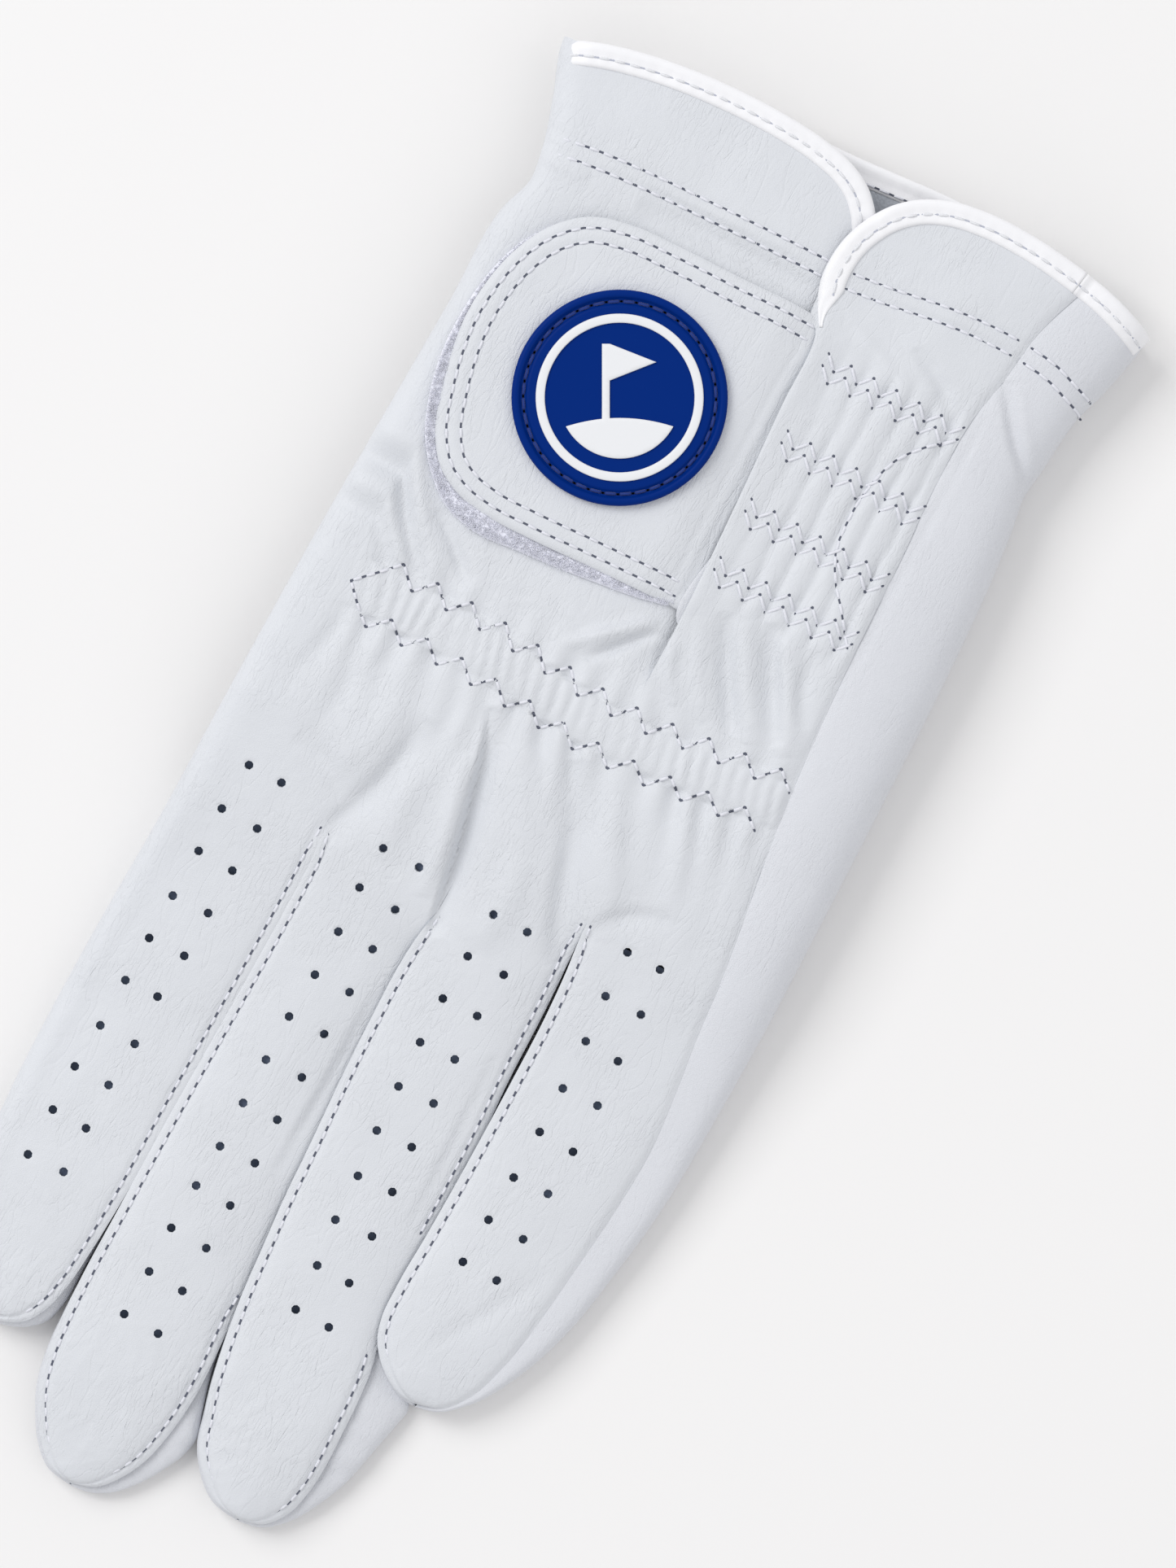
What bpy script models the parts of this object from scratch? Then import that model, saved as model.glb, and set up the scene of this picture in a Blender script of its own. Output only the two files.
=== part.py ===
"""Left-hand golf glove lying palm down on a table.

+X is the index-finger side, +Y runs to the fingertips and +Z is up, off the back of the hand.
The origin is the centre of the glove's footprint, on the table.  Lengths in this file are in
millimetres until to_metres(), which also moves the pattern's own origin to that centre.

The thumb stall is folded under the palm, so the palm rides up over it.  Every sheet of leather is
a shell of real thickness; where one cut piece of leather bends at a joint it is split in two.
"""
import bpy
import bmesh
import numpy as np
from math import asin, cos, pi, radians, sin, sqrt
from mathutils import Vector

# ---- Driving dimensions, mm ------------------------------------------------------------------
MM = 0.001
CENTRE = (0.45, -0.8)        # footprint centre in the pattern's own X and Y
LEATHER = 0.8
GAP = 0.3                     # air between neighbouring pieces
SEAM_GAP = 0.5                # the same where two sheets meet edge to edge on a slope
FINGER_DEPTH = 6.4            # outside depth of a finger stall
HAND_DEPTH = 8.0              # outside depth of the hand
THUMB_DEPTH = 5.8
PALM_LIFT = 6.3               # height of the palm where it lies over the thumb
KNUCKLE_Y = 14.3              # line where the finger stalls meet the hand
CUFF_Y = -116.0               # nominal end of the wrist
CUFF_LIFT = 0.87              # share of the palm's lift that is left at the cuff
BINDING = 3.9                 # width of the cuff binding
BINDING_DEPTH = 1.2
SEAM_ANGLE = 40.0             # where a fourchette meets the back and the palm, degrees of the side arc
PALM_SEAM_IN = 7.0            # the back leather laps this far under the index edge
ELASTIC_DEPTH = 0.5
SLIT_TOP = -30.5              # upper end of the wrist slit
THUMB_PIVOT = (27.0, -61.0)
THUMB_ANGLE = 137.0           # direction of the folded thumb, degrees from +X
THUMB_LENGTH = 56.0           # pivot to tip
THUMB_MOUTH = 10.5            # radius of the round mouth between hand and thumb
TAB_DEPTH = 0.9
PAD_DEPTH = 0.7
BADGE_RADIUS = 16.5
BADGE_CENTRE = (17.4, -68.7)
BADGE_DEPTH = 1.6
VIEW_ROLL = radians(28.0)     # the main view turns the glove's cuff this far past straight up

# Edge lines of the hand: (y, x) from cuff to knuckles
LITTLE_EDGE = [(-120, -50.6), (-110, -49.0), (-100, -46.4), (-85, -45.0), (-70, -46.4), (-30, -47.7),
               (16, -47.9)]
INDEX_EDGE = [(-120, 51.2), (-113, 50.6), (-105, 48.3), (-92, 45.6), (-70, 47.6), (-30, 49.0), (16, 50.0)]
SIDE_SEAM = [(-120, -38.5), (-107, -34.4), (-92, -31.9), (-69, -32.1), (-33, -33.9), (3, -38.3), (32, -41.1),
             (53, -39.4), (72, -36.0), (80, -31.5)]
SLIT = [(-119, -9.5), (-114, -5.4), (-109, -1.9), (-103, -1.0), (-94, -3.8), (-80, -5.0), (-50, -6.3),
        (-30, -6.6)]
CUFF = [(-51, -115.4), (-42, -118.4), (-27, -120.3), (-8, -119.3), (5, -118.2), (23, -118.9), (38, -117.2),
        (51, -113.7)]
FLAP_HINGE = ((-7.0, -30.5), (-35.5, -112.0))    # line on which the wrist flap folds up

# Finger stalls: name, left edge and right edge as (y, x), start of the round tip, end of the tip
FINGERS = [
    ("little", [(14, -47.9), (40, -46.8), (60, -43.5), (68, -41.0)], [(14, -16.2), (68, -16.3)], 68.0, 82.8),
    ("ring", [(14, -15.6), (68, -15.6), (76, -17.7), (80, -20.7), (84, -26.6), (88, -26.2), (94, -24.6)],
     [(14, 5.0), (70, 5.2), (80, 4.0), (94, 1.2)], 94.0, 111.5),
    ("middle", [(14, 5.8), (70, 5.9), (80, 4.7), (94, 2.0), (98, 1.6), (104, 0.0)],
     [(14, 27.2), (100, 27.0), (104, 26.0)], 104.0, 119.0),
    ("index", [(14, 28.0), (90, 28.0)], [(14, 50.0), (55, 50.9), (75, 50.2), (90, 48.4)], 90.0, 102.3),
]

WHITE_LEATHER = ("white_leather", (0.82, 0.84, 0.88), 0.55)
PALM_LEATHER = ("palm_leather", (0.80, 0.82, 0.86), 0.50)
WHITE_TAPE = ("binding_tape", (0.88, 0.89, 0.92), 0.60)
ELASTIC = ("elastic", (0.78, 0.78, 0.80), 0.80)
LOOP = ("loop_fabric", (0.76, 0.76, 0.88), 0.95)
HOOK = ("hook_tape", (0.80, 0.80, 0.84), 0.70)
BLUE_RUBBER = ("blue_rubber", (0.02, 0.08, 0.42), 0.45)
WHITE_RUBBER = ("white_rubber", (0.85, 0.86, 0.88), 0.45)
LABEL = ("label_fabric", (0.85, 0.85, 0.86), 0.85)


# ---- Curves ----------------------------------------------------------------------------------
def through(points):
    """A smooth function through (t, value) points that never swings past them, level beyond its ends."""
    t = np.array([p[0] for p in points], float)
    v = np.array([p[1] for p in points], float)
    run = np.diff(v) / np.diff(t)
    slope = np.concatenate([run[:1], np.zeros(len(t) - 2), run[-1:]])
    for k in range(1, len(t) - 1):
        if run[k - 1] * run[k] > 0:
            slope[k] = 2 * run[k - 1] * run[k] / (run[k - 1] + run[k])

    def value(at):
        at = min(max(at, t[0]), t[-1])
        i = min(int(np.searchsorted(t, at, side="right")) - 1, len(t) - 2)
        span = t[i + 1] - t[i]
        s = (at - t[i]) / span
        start = v[i] * (1 + 2 * s) * (1 - s) ** 2 + slope[i] * span * s * (1 - s) ** 2
        return start + v[i + 1] * s * s * (3 - 2 * s) + slope[i + 1] * span * s * s * (s - 1)
    return value


def ramp(low, high, at):
    """Smooth step from 0 at low to 1 at high."""
    s = min(max((at - low) / (high - low), 0.0), 1.0)
    return s * s * (3 - 2 * s)


little_edge, index_edge, side_seam = map(through, (LITTLE_EDGE, INDEX_EDGE, SIDE_SEAM))
slit, cuff = map(through, (SLIT, CUFF))


def lift(x, y):
    """Height of the palm's underside: up over the folded thumb, down at fingers and little-finger edge."""
    along = (CUFF_LIFT + (1 - CUFF_LIFT) * ramp(CUFF_Y, -92, y)) * (1 - ramp(-2, KNUCKLE_Y - 0.5, y))
    return PALM_LIFT * ramp(-45, -31, x) * along


def hand_depth(y):
    return HAND_DEPTH + (FINGER_DEPTH - HAND_DEPTH) * ramp(-10, KNUCKLE_Y - 0.5, y)


def back_top(x, y):
    """Height of the outside of the back leather away from its edges."""
    return lift(x, y) + hand_depth(y)


def fold_x(y):
    """The flap's edge at y: on its fold line, and clear of the side seam near the cuff."""
    (x0, y0), (x1, y1) = FLAP_HINGE
    return max(x0 + (x1 - x0) * (min(y, y0) - y0) / (y1 - y0), side_seam(y) + 2.2)


# ---- Sections: a flat stadium, round at both sides --------------------------------------------
class Section:
    """Cross-section at one y: stations along its outline give points."""

    def __init__(self, y, left, right, depth, height=lambda x, y: 0.0):
        self.y, self.left, self.right, self.depth, self.height = y, left, right, depth, height
        self.radius = min(depth / 2, (right - left) * 0.34)

    def point(self, station, y=None):
        side, value = station
        y = self.y if y is None else y
        low, high = self.left + self.radius, self.right - self.radius
        middle = self.depth / 2
        if side in "LR":
            centre = low if side == "L" else high
            x = centre + self.radius * cos(radians(value))
            z = middle + middle * sin(radians(value))
        else:
            x = value if side in ("top_x", "bottom_x") else low + (high - low) * value
            z = self.depth if side in ("top", "top_x") else 0.0
        return (x, y, z + self.height(x, y))


def fractions(side, count):
    """Stations spread evenly over a section's flat top or bottom, without its ends."""
    return [(side, (i + 1) / (count + 1)) for i in range(count)]


def spread(side, start, end, count):
    return [(side, start + (end - start) * i / count) for i in range(count + 1)]


# ---- Solids ------------------------------------------------------------------------------------
def to_metres(point):
    return Vector(((point[0] - CENTRE[0]) * MM, (point[1] - CENTRE[1]) * MM, point[2] * MM))


MATERIALS = {}


def material(spec):
    name, colour, roughness = spec
    if name not in MATERIALS:
        made = bpy.data.materials.new(name)
        made.use_nodes = True
        shader = made.node_tree.nodes["Principled BSDF"]
        shader.inputs["Base Color"].default_value = (*colour, 1.0)
        shader.inputs["Roughness"].default_value = roughness
        shader.inputs["Metallic"].default_value = 0.0
        MATERIALS[name] = made
    return MATERIALS[name]


def pivot(name, point, parent=None):
    """An empty on a joint's axis, which carries the pieces that move with the joint."""
    empty = bpy.data.objects.new(name, None)
    bpy.context.scene.collection.objects.link(empty)
    empty.parent = parent
    empty.location = to_metres(point) - (world_of(parent) if parent else Vector())
    empty.empty_display_size = 0.01
    return empty


def world_of(obj):
    place = Vector()
    while obj is not None:
        place = place + obj.location
        obj = obj.parent
    return place


def add_object(name, points, faces, spec, parent=None, smooth=40.0):
    """A named closed solid from points in pattern millimetres."""
    origin = world_of(parent) if parent else Vector()
    mesh = bpy.data.meshes.new(name)
    mesh.from_pydata([to_metres(p) - origin for p in points], [], faces)
    work = bmesh.new()
    work.from_mesh(mesh)
    if work.calc_volume(signed=True) < 0:
        bmesh.ops.reverse_faces(work, faces=work.faces)
    work.to_mesh(mesh)
    work.free()
    mesh.shade_smooth()
    mesh.set_sharp_from_angle(angle=radians(smooth))
    mesh.materials.append(material(spec))
    obj = bpy.data.objects.new(name, mesh)
    obj.parent = parent
    bpy.context.scene.collection.objects.link(obj)
    return obj


def shell(name, rows, depth, spec, parent=None, skip=lambda row, column: False):
    """A sheet whose outside is a grid of points; its inside lies depth below, one depth or one a row."""
    outer = np.array(rows, float)
    along, across = (np.gradient(outer, axis=k, edge_order=min(outer.shape[k] - 1, 2)) for k in (0, 1))
    normal = np.cross(across, along)
    normal /= np.linalg.norm(normal, axis=2, keepdims=True)
    inner = outer - normal * np.broadcast_to(depth, outer.shape[:1])[:, None, None]
    height, width = outer.shape[:2]
    number = np.arange(height * width).reshape(height, width)
    skins, edges = [], {}
    for r in range(height - 1):
        for c in range(width - 1):
            if skip(r, c):
                continue
            corners = [number[r, c], number[r, c + 1], number[r + 1, c + 1], number[r + 1, c]]
            skins.append([int(n) for n in corners])
            for a, b in zip(corners, corners[1:] + corners[:1]):
                edges[(int(a), int(b))] = True
    base = height * width
    rims = [[a, a + base, b + base, b] for a, b in edges if (b, a) not in edges]
    faces = skins + [[n + base for n in reversed(face)] for face in skins] + rims
    used = sorted({n for face in faces for n in face})
    index = {n: i for i, n in enumerate(used)}
    points = np.concatenate([outer.reshape(-1, 3), inner.reshape(-1, 3)])[used]
    return add_object(name, points.tolist(), [[index[n] for n in face] for face in faces], spec, parent)


def plate(name, outline, low, depth, spec, parent=None):
    """Flat plate between two heights."""
    count = len(outline)
    points = [(x, y, low) for x, y in outline] + [(x, y, low + depth) for x, y in outline]
    faces = [list(reversed(range(count))), [count + i for i in range(count)]]
    faces += [[i, (i + 1) % count, count + (i + 1) % count, count + i] for i in range(count)]
    return add_object(name, points, faces, spec, parent)


def ring(name, centre, inner, outer, low, depth, spec, parent, sides=32):
    """Flat ring."""
    turn = [2 * pi * i / sides for i in range(sides)]
    corners = ((outer, low), (outer, low + depth), (inner, low + depth), (inner, low))
    points = [(centre[0] + r * cos(a), centre[1] + r * sin(a), z) for r, z in corners for a in turn]
    faces = [[k * sides + i, k * sides + (i + 1) % sides, (k + 1) % 4 * sides + (i + 1) % sides,
              (k + 1) % 4 * sides + i] for k in range(4) for i in range(sides)]
    return add_object(name, points, faces, spec, parent)


def circle(centre, radius, sides=32):
    return [(centre[0] + radius * cos(2 * pi * i / sides), centre[1] + radius * sin(2 * pi * i / sides))
            for i in range(sides)]


def rounded(corners, radius, steps=4):
    """Closed outline with each corner turned by a curve of about the given radius."""
    outline = []
    for i, corner in enumerate(corners):
        here, before, after = Vector(corner), Vector(corners[i - 1]), Vector(corners[(i + 1) % len(corners)])
        start = here + (before - here).normalized() * min(radius, (before - here).length / 2.1)
        end = here + (after - here).normalized() * min(radius, (after - here).length / 2.1)
        for k in range(steps + 1):
            s = k / steps
            outline.append(tuple(start * (1 - s) ** 2 + here * 2 * s * (1 - s) + end * s * s))
    return outline


# ---- Finger stalls -----------------------------------------------------------------------------
def finger_section(y, left, right, tip_start, tip_end):
    """The stall keeps its width to tip_start and then closes in a half ellipse, thinning a little."""
    if y <= tip_start:
        return Section(y, left(y), right(y), FINGER_DEPTH)
    s = (y - tip_start) / (tip_end - tip_start)
    middle, half = (left(tip_start) + right(tip_start)) / 2, (right(tip_start) - left(tip_start)) / 2
    half *= sqrt(max(1 - s * s, 0))
    return Section(y, middle - half, middle + half, FINGER_DEPTH * (1 - 0.42 * s ** 3))


def make_finger(name, left_points, right_points, tip_start, tip_end):
    left, right = through(left_points), through(right_points)
    start = KNUCKLE_Y + GAP / 2
    body = sorted({start, 40.0} | {y for y, x in left_points + right_points if y > start})
    tip = [tip_start + (tip_end - tip_start) * s for s in (0.35, 0.62, 0.82, 0.93, 0.97)]
    sections = [finger_section(y, left, right, tip_start, tip_end) for y in body + tip]
    joint = pivot(name + "_joint", ((left(start) + right(start)) / 2, KNUCKLE_Y, FINGER_DEPTH))
    trim = 4.0                                     # half of the seam gap, in degrees of the side arc
    high, low = SEAM_ANGLE + trim, SEAM_ANGLE - trim
    top_left = [("L", 180 - high), ("L", 110), ("L", 90)]
    top_right = [("R", 90), ("R", 70), ("R", high)]
    bottom_right = [("R", -high), ("R", -70), ("R", -90)]
    bottom_left = [("L", 270), ("L", 250), ("L", 180 + high)]
    across_top, across_bottom = fractions("top", 3), fractions("bottom", 3)[::-1]

    def strip(part, stations, spec):
        rows = [[section.point(station) for station in stations(section)] for section in sections]
        shell(name + part, rows, [LEATHER] * (len(rows) - 1) + [LEATHER / 2], spec, joint)

    def seam(section):
        low_x, high_x = section.left + section.radius, section.right - section.radius
        return min(max(side_seam(section.y), low_x * 0.65 + high_x * 0.35), low_x * 0.45 + high_x * 0.55)

    def across_from(start_x, end_x):
        return [("top_x", start_x + (end_x - start_x) * i / 4) for i in range(4)]

    def lap(section):
        low_x, high_x = section.left + section.radius, section.right - section.radius
        return high_x - min(3.6, 0.4 * (high_x - low_x))

    if name == "little":
        strip("_finger_back", lambda s: across_from(seam(s) + SEAM_GAP, s.right - s.radius) + top_right,
              WHITE_LEATHER)
        strip("_finger_palm", lambda s: bottom_right + across_bottom
              + [("L", a) for a in (270, 225, 180, 135, 90)] + [("top_x", seam(s))], PALM_LEATHER)
    elif name == "index":
        strip("_finger_back", lambda s: top_left + across_top + [("R", a) for a in (90, 45, 0, -45, -90)]
              + [("bottom_x", lap(s))], WHITE_LEATHER)
        strip("_finger_palm", lambda s: spread("bottom_x", lap(s) - GAP, s.left + s.radius, 3)[:3]
              + bottom_left, PALM_LEATHER)
    else:
        strip("_finger_back", lambda s: top_left + across_top + top_right, WHITE_LEATHER)
        strip("_finger_palm", lambda s: bottom_right + across_bottom + bottom_left, PALM_LEATHER)
    if name != "index":
        strip("_fourchette_index_side", lambda s: [("R", a) for a in (low, 0, -low)], PALM_LEATHER)
    if name != "little":
        strip("_fourchette_little_side", lambda s: [("L", 180 + low), ("L", 180), ("L", 180 - low)],
              PALM_LEATHER)


# ---- Hand ----------------------------------------------------------------------------------------
def hand_section(y):
    return Section(y, little_edge(y), index_edge(y), hand_depth(y), lift)


def hand_rows(row_values, stations):
    """Rows of the hand's skin; towards the cuff a row bends to the cuff's own curve."""
    rows = []
    for value in row_values:
        section, pull = hand_section(value), 1 - ramp(CUFF_Y, -98, value)
        row = []
        for station in stations(section):
            x = section.point(station)[0]
            row.append(section.point(station, value + (cuff(x) - CUFF_Y) * pull))
        rows.append(row)
    return rows


EDGE_ROWS = [-104, -96, -86, -74, -62, -50, -40]
LEATHER_START = CUFF_Y + BINDING + GAP
NOTCH_LEFT, NOTCH_RIGHT = -16.4, -15.4           # slit between the little and ring stalls, to y = 4
SECOND_NOTCH = (27.3, 28.1)                      # slit between the middle and index stalls, to y = 9.8


def notch_columns():
    return [("top_x", x) for x in (NOTCH_LEFT, NOTCH_RIGHT)]


def make_back():
    """Back of the hand: seam to slit and slit to index edge, open where the wrist flap lies."""
    rows = [LEATHER_START] + EDGE_ROWS + [SLIT_TOP, -20, -8, 0, 4, 9.8, KNUCKLE_Y - GAP / 2]
    top_row = rows.index(SLIT_TOP)

    def stations(s):
        fold = fold_x(s.y) - GAP
        lip = slit(s.y) + GAP
        shoulder = s.right - s.radius - 1.6
        seam = side_seam(s.y) + SEAM_GAP
        seam_side = [seam + (fold - seam) * f for f in (0, 0.34, 0.7, 1)]
        open_side = [lip + (shoulder - lip) * f for f in (0, 0.3, 0.62, 1)]
        if s.y > SLIT_TOP:
            seam_side = [seam, -27.0, NOTCH_LEFT, NOTCH_RIGHT]
            open_side = [5.4, SECOND_NOTCH[0], SECOND_NOTCH[1], shoulder]
        edge = [("R", a) for a in (90, 45, 0, -45, -90)] + [("bottom_x", s.right - PALM_SEAM_IN)]
        return [("top_x", x) for x in seam_side + open_side] + edge

    def skip(row, column):
        notch = (column == 2 and rows[row] >= 4) or (column == 5 and rows[row] >= 9.8)
        return notch or (column == 3 and row < top_row)

    shell("back_leather", hand_rows(rows, stations), LEATHER, WHITE_LEATHER, None, skip)


def make_palm():
    """Palm: from the seam under the index edge, across, round the little-finger edge to the side seam."""
    rows = [CUFF_Y, LEATHER_START] + EDGE_ROWS + [SLIT_TOP, -20, -8, 0, 4, 9.8, KNUCKLE_Y - GAP / 2]

    def stations(s):
        xs = [s.right - PALM_SEAM_IN - GAP, SECOND_NOTCH[1], SECOND_NOTCH[0], 16.0, 5.4, -5.0, NOTCH_RIGHT,
              NOTCH_LEFT, -26.0, -33.0]
        side = [("L", a) for a in (270, 225, 180, 135, 90)]
        brow = s.left + s.radius
        over = [("top_x", brow + (side_seam(s.y) - brow) * f) for f in (0.4, 0.75, 1)]
        return [("bottom_x", x) for x in xs] + side + over

    def skip(row, column):
        notch = (column == 6 and rows[row] >= 4) or (column == 1 and rows[row] >= 9.8)
        return notch or (column >= 12 and row == 0)

    palm = shell("palm_leather", hand_rows(rows, stations), LEATHER, PALM_LEATHER, None, skip)
    mouth = plate("thumb_mouth_cutter", circle(THUMB_PIVOT, THUMB_MOUTH, 20), PALM_LIFT - 3, 8, PALM_LEATHER)
    mouth.hide_render = True
    mouth.display_type = "WIRE"
    cut = palm.modifiers.new("thumb_mouth", "BOOLEAN")
    cut.object = mouth
    cut.operation = "DIFFERENCE"
    cut.solver = "EXACT"


def raised(rows, by):
    return [[(x, y, z + by) for x, y, z in row] for row in rows]


def make_cuff():
    """Binding tape over the cuff's cut edges, and the hem tape inside the palm's cuff."""
    rows = [CUFF_Y, CUFF_Y + BINDING / 2, CUFF_Y + BINDING]

    def side(s):
        return [("L", a) for a in (168, 130, 90)] + [("top_x", -41.0), ("top_x", fold_x(s.y) - GAP)]

    def index_side(s):
        return spread("top_x", slit(s.y) + 3.0, s.right - s.radius - 1.6, 5) + [("R", a) for a in (90, 45, 0)]

    shell("side_cuff_binding", raised(hand_rows(rows, side), 0.2), BINDING_DEPTH, WHITE_TAPE)
    shell("index_cuff_binding", raised(hand_rows(rows, index_side), 0.2), BINDING_DEPTH, WHITE_TAPE)
    palm_rows = hand_rows([CUFF_Y + 0.5, CUFF_Y + 8], lambda s: spread("bottom_x", 40.0, -28.0, 6))
    hem = raised(palm_rows, LEATHER + 0.8)
    shell("cuff_hem_tape", hem, 0.4, WHITE_TAPE)


def band(name, y_line, width, start, end, below, depth, spec, parent=None, count=6, over=back_top):
    """Strip lying along X inside a sheet; its upper face is below the sheet's outside."""
    xs = np.linspace(start, end, count + 1)
    rows = [[(x, y_line(x) + side * width / 2, over(x, y_line(x)) - below) for x in xs] for side in (-1, 1)]
    return shell(name, rows, depth, spec, parent)


def make_hand_linings():
    """Gathering elastic behind the knuckles, wrist elastic in the palm and a blank size label."""
    under_back = LEATHER + GAP
    band("knuckle_elastic", lambda x: -24.5, 9.0, -25.5, 38.0, under_back + 0.1, ELASTIC_DEPTH, ELASTIC,
         count=8)
    on_palm = -(LEATHER + GAP + ELASTIC_DEPTH)
    band("palm_wrist_elastic", lambda x: -94.0, 6.0, -26.0, 36.0, on_palm, ELASTIC_DEPTH, ELASTIC, over=lift)
    band("size_label", lambda x: -84.0, 9.0, -20.0, -4.0, on_palm, 0.25, LABEL, count=2, over=lift)
    pad_low = back_top(0, -60) + GAP
    loop_outline = rounded([(-4.2, -43.9), (8, -42.0), (31, -40.2), (40.6, -48.5), (45.0, -62), (45.0, -74),
                            (41.5, -86), (33, -90.5), (-3.0, -90.5)], 5.0, 2)
    plate("loop_pad", loop_outline, pad_low, PAD_DEPTH, LOOP)


# ---- Wrist flap --------------------------------------------------------------------------------
def make_flap():
    """The part of the back between its fold line and the slit, with all that is sewn to it."""
    (x0, y0), (x1, y1) = FLAP_HINGE
    joint = pivot("wrist_flap_joint", ((x0 + x1) / 2, (y0 + y1) / 2, back_top(x0, y0)))
    leather_rows = [LEATHER_START] + EDGE_ROWS + [-33.5]
    rows = hand_rows(leather_rows, lambda s: spread("top_x", fold_x(s.y) + GAP, slit(s.y) - GAP, 4))
    shell("wrist_flap_leather", rows, LEATHER, WHITE_LEATHER, joint)
    edge = hand_rows([CUFF_Y, CUFF_Y + BINDING / 2, CUFF_Y + BINDING],
                     lambda s: spread("top_x", fold_x(s.y) + GAP, slit(s.y) - GAP, 4))
    shell("flap_cuff_binding", raised(edge, 0.2), BINDING_DEPTH, WHITE_TAPE, joint)
    facing_rows = hand_rows([-104, -96, -86, -74, -62, -50, -40],
                            lambda s: spread("top_x", slit(s.y) - 5.0, slit(s.y) - GAP, 1))
    shell("slit_facing", raised(facing_rows, -(LEATHER + GAP)), 0.4, WHITE_TAPE, joint)
    anchor = [(-12.0, -50.5), (-12.0, -88.0)]
    anchor += [(-12.0 - 12.5 * sin(a), -69.25 - 18.75 * cos(a)) for a in np.linspace(0.12 * pi, 0.88 * pi, 9)]
    plate("tab_anchor", anchor, back_top(-12, -60) - LEATHER - GAP - 0.7, 0.7, WHITE_LEATHER, joint)
    below = LEATHER + 2 * GAP + 0.7
    for number, y in enumerate((-53.0, -62.5, -74.0, -85.5)):
        start = fold_x(y) + 1.2
        band("wrist_elastic_" + str(number + 1), lambda x, y=y: y, 5.0, start, -7.5, below, ELASTIC_DEPTH,
             ELASTIC, joint, 3)
    return joint


# ---- Closure tab -------------------------------------------------------------------------------
def flag_outline(centre):
    """Generic golf flag on a green, as one outline that stands upright along the glove's main view."""
    radius, ground, pole_left, pole_right = 9.3, -4.4, -2.7, -1.5
    half = sqrt(radius ** 2 - ground ** 2)
    edge = asin(-ground / radius)

    def green(x):
        return (x, ground + 1.3 * (1 - (x / half) ** 2))
    outline = [green(half), green(4.0), green(pole_right), (pole_right, 2.6), (5.6, 5.4), (pole_right, 8.2)]
    outline += [(pole_left, 8.2), green(pole_left), green(-half)]
    outline += [(-radius * cos(a), -radius * sin(a)) for a in np.linspace(edge, pi - edge, 9)[1:-1]]
    up = Vector((sin(VIEW_ROLL), -cos(VIEW_ROLL)))
    across = Vector((up.y, -up.x))
    return [tuple(Vector(centre) + across * x + up * y) for x, y in outline]


def make_tab(flap_joint):
    """Closure tab, folding about the slit edge, with its hook pad and its badge."""
    low = back_top(0, -60) + GAP + PAD_DEPTH + GAP + PAD_DEPTH + GAP
    top = low + TAB_DEPTH
    joint = pivot("closure_tab_joint", (-5.3, -68.7, top), flap_joint)
    outline = rounded([(-5.0, -44.0), (30, -43.2), (40.5, -50.5), (44.6, -68.0), (41.5, -85.5), (30, -93.4),
                       (-3.2, -93.6)], 9.0, 4)
    plate("closure_tab", outline, low, TAB_DEPTH, WHITE_LEATHER, joint)
    hook_outline = rounded([(6, -50), (32, -50), (39, -60), (39, -76), (32, -87), (6, -87)], 3.0, 1)
    plate("hook_pad", hook_outline, low - GAP - PAD_DEPTH, PAD_DEPTH, HOOK, joint)
    badge_low = top + GAP
    plate("badge_base", circle(BADGE_CENTRE, BADGE_RADIUS), badge_low, BADGE_DEPTH, BLUE_RUBBER, joint)
    on_badge = badge_low + BADGE_DEPTH + GAP
    ring("badge_ring", BADGE_CENTRE, 11.4, 12.8, on_badge, 0.5, WHITE_RUBBER, joint)
    plate("badge_emblem", flag_outline(BADGE_CENTRE), on_badge, 0.5, WHITE_RUBBER, joint)


# ---- Thumb -------------------------------------------------------------------------------------
def make_thumb():
    """Thumb stall folded flat under the palm; it swings about the round mouth."""
    joint = pivot("thumb_joint", (*THUMB_PIVOT, 0.0))
    along = Vector((cos(radians(THUMB_ANGLE)), sin(radians(THUMB_ANGLE))))
    across = Vector((along.y, -along.x))
    base, width, tip_start = 13.0, 13.0, 40.0

    def section(s):
        if s < 0:
            half = width * sqrt(1 - (s / base) ** 2)
        elif s <= tip_start:
            half = width - 1.2 * s / tip_start
        else:
            half = (width - 1.2) * sqrt(1 - ((s - tip_start) / (THUMB_LENGTH - tip_start)) ** 2)
        end = max(s - tip_start, 0) / (THUMB_LENGTH - tip_start)
        return Section(s, -half, half, THUMB_DEPTH * (1 - 0.4 * end ** 3))

    def placed(stations, values):
        rows = []
        for s in values:
            row = []
            for station in stations:
                x, y, z = section(s).point(station)
                spot = Vector(THUMB_PIVOT) + across * x + along * y
                row.append((spot.x, spot.y, z))
            rows.append(row)
        return rows

    tip = [tip_start + (THUMB_LENGTH - tip_start) * s for s in (0.4, 0.7, 0.88, 0.975)]
    upper = [("L", 175), ("L", 135), ("L", 90)] + fractions("top", 2) + [("R", 90), ("R", 45), ("R", 5)]
    lower = ([("R", -5), ("R", -45), ("R", -90)] + fractions("bottom", 2)[::-1]
             + [("L", 270), ("L", 225), ("L", 185)])
    upper_rows = placed(upper, [THUMB_MOUTH + 1.5, 26.0, tip_start] + tip)
    lower_rows = placed(lower, [-11.5, -6.0, 2.0, 20.0, tip_start] + tip)
    thin, full = [LEATHER / 2], [LEATHER]
    shell("thumb_upper_leather", upper_rows, full * (len(upper_rows) - 1) + thin, WHITE_LEATHER, joint)
    shell("thumb_lower_leather", lower_rows, thin + full * (len(lower_rows) - 2) + thin, PALM_LEATHER, joint)


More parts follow.
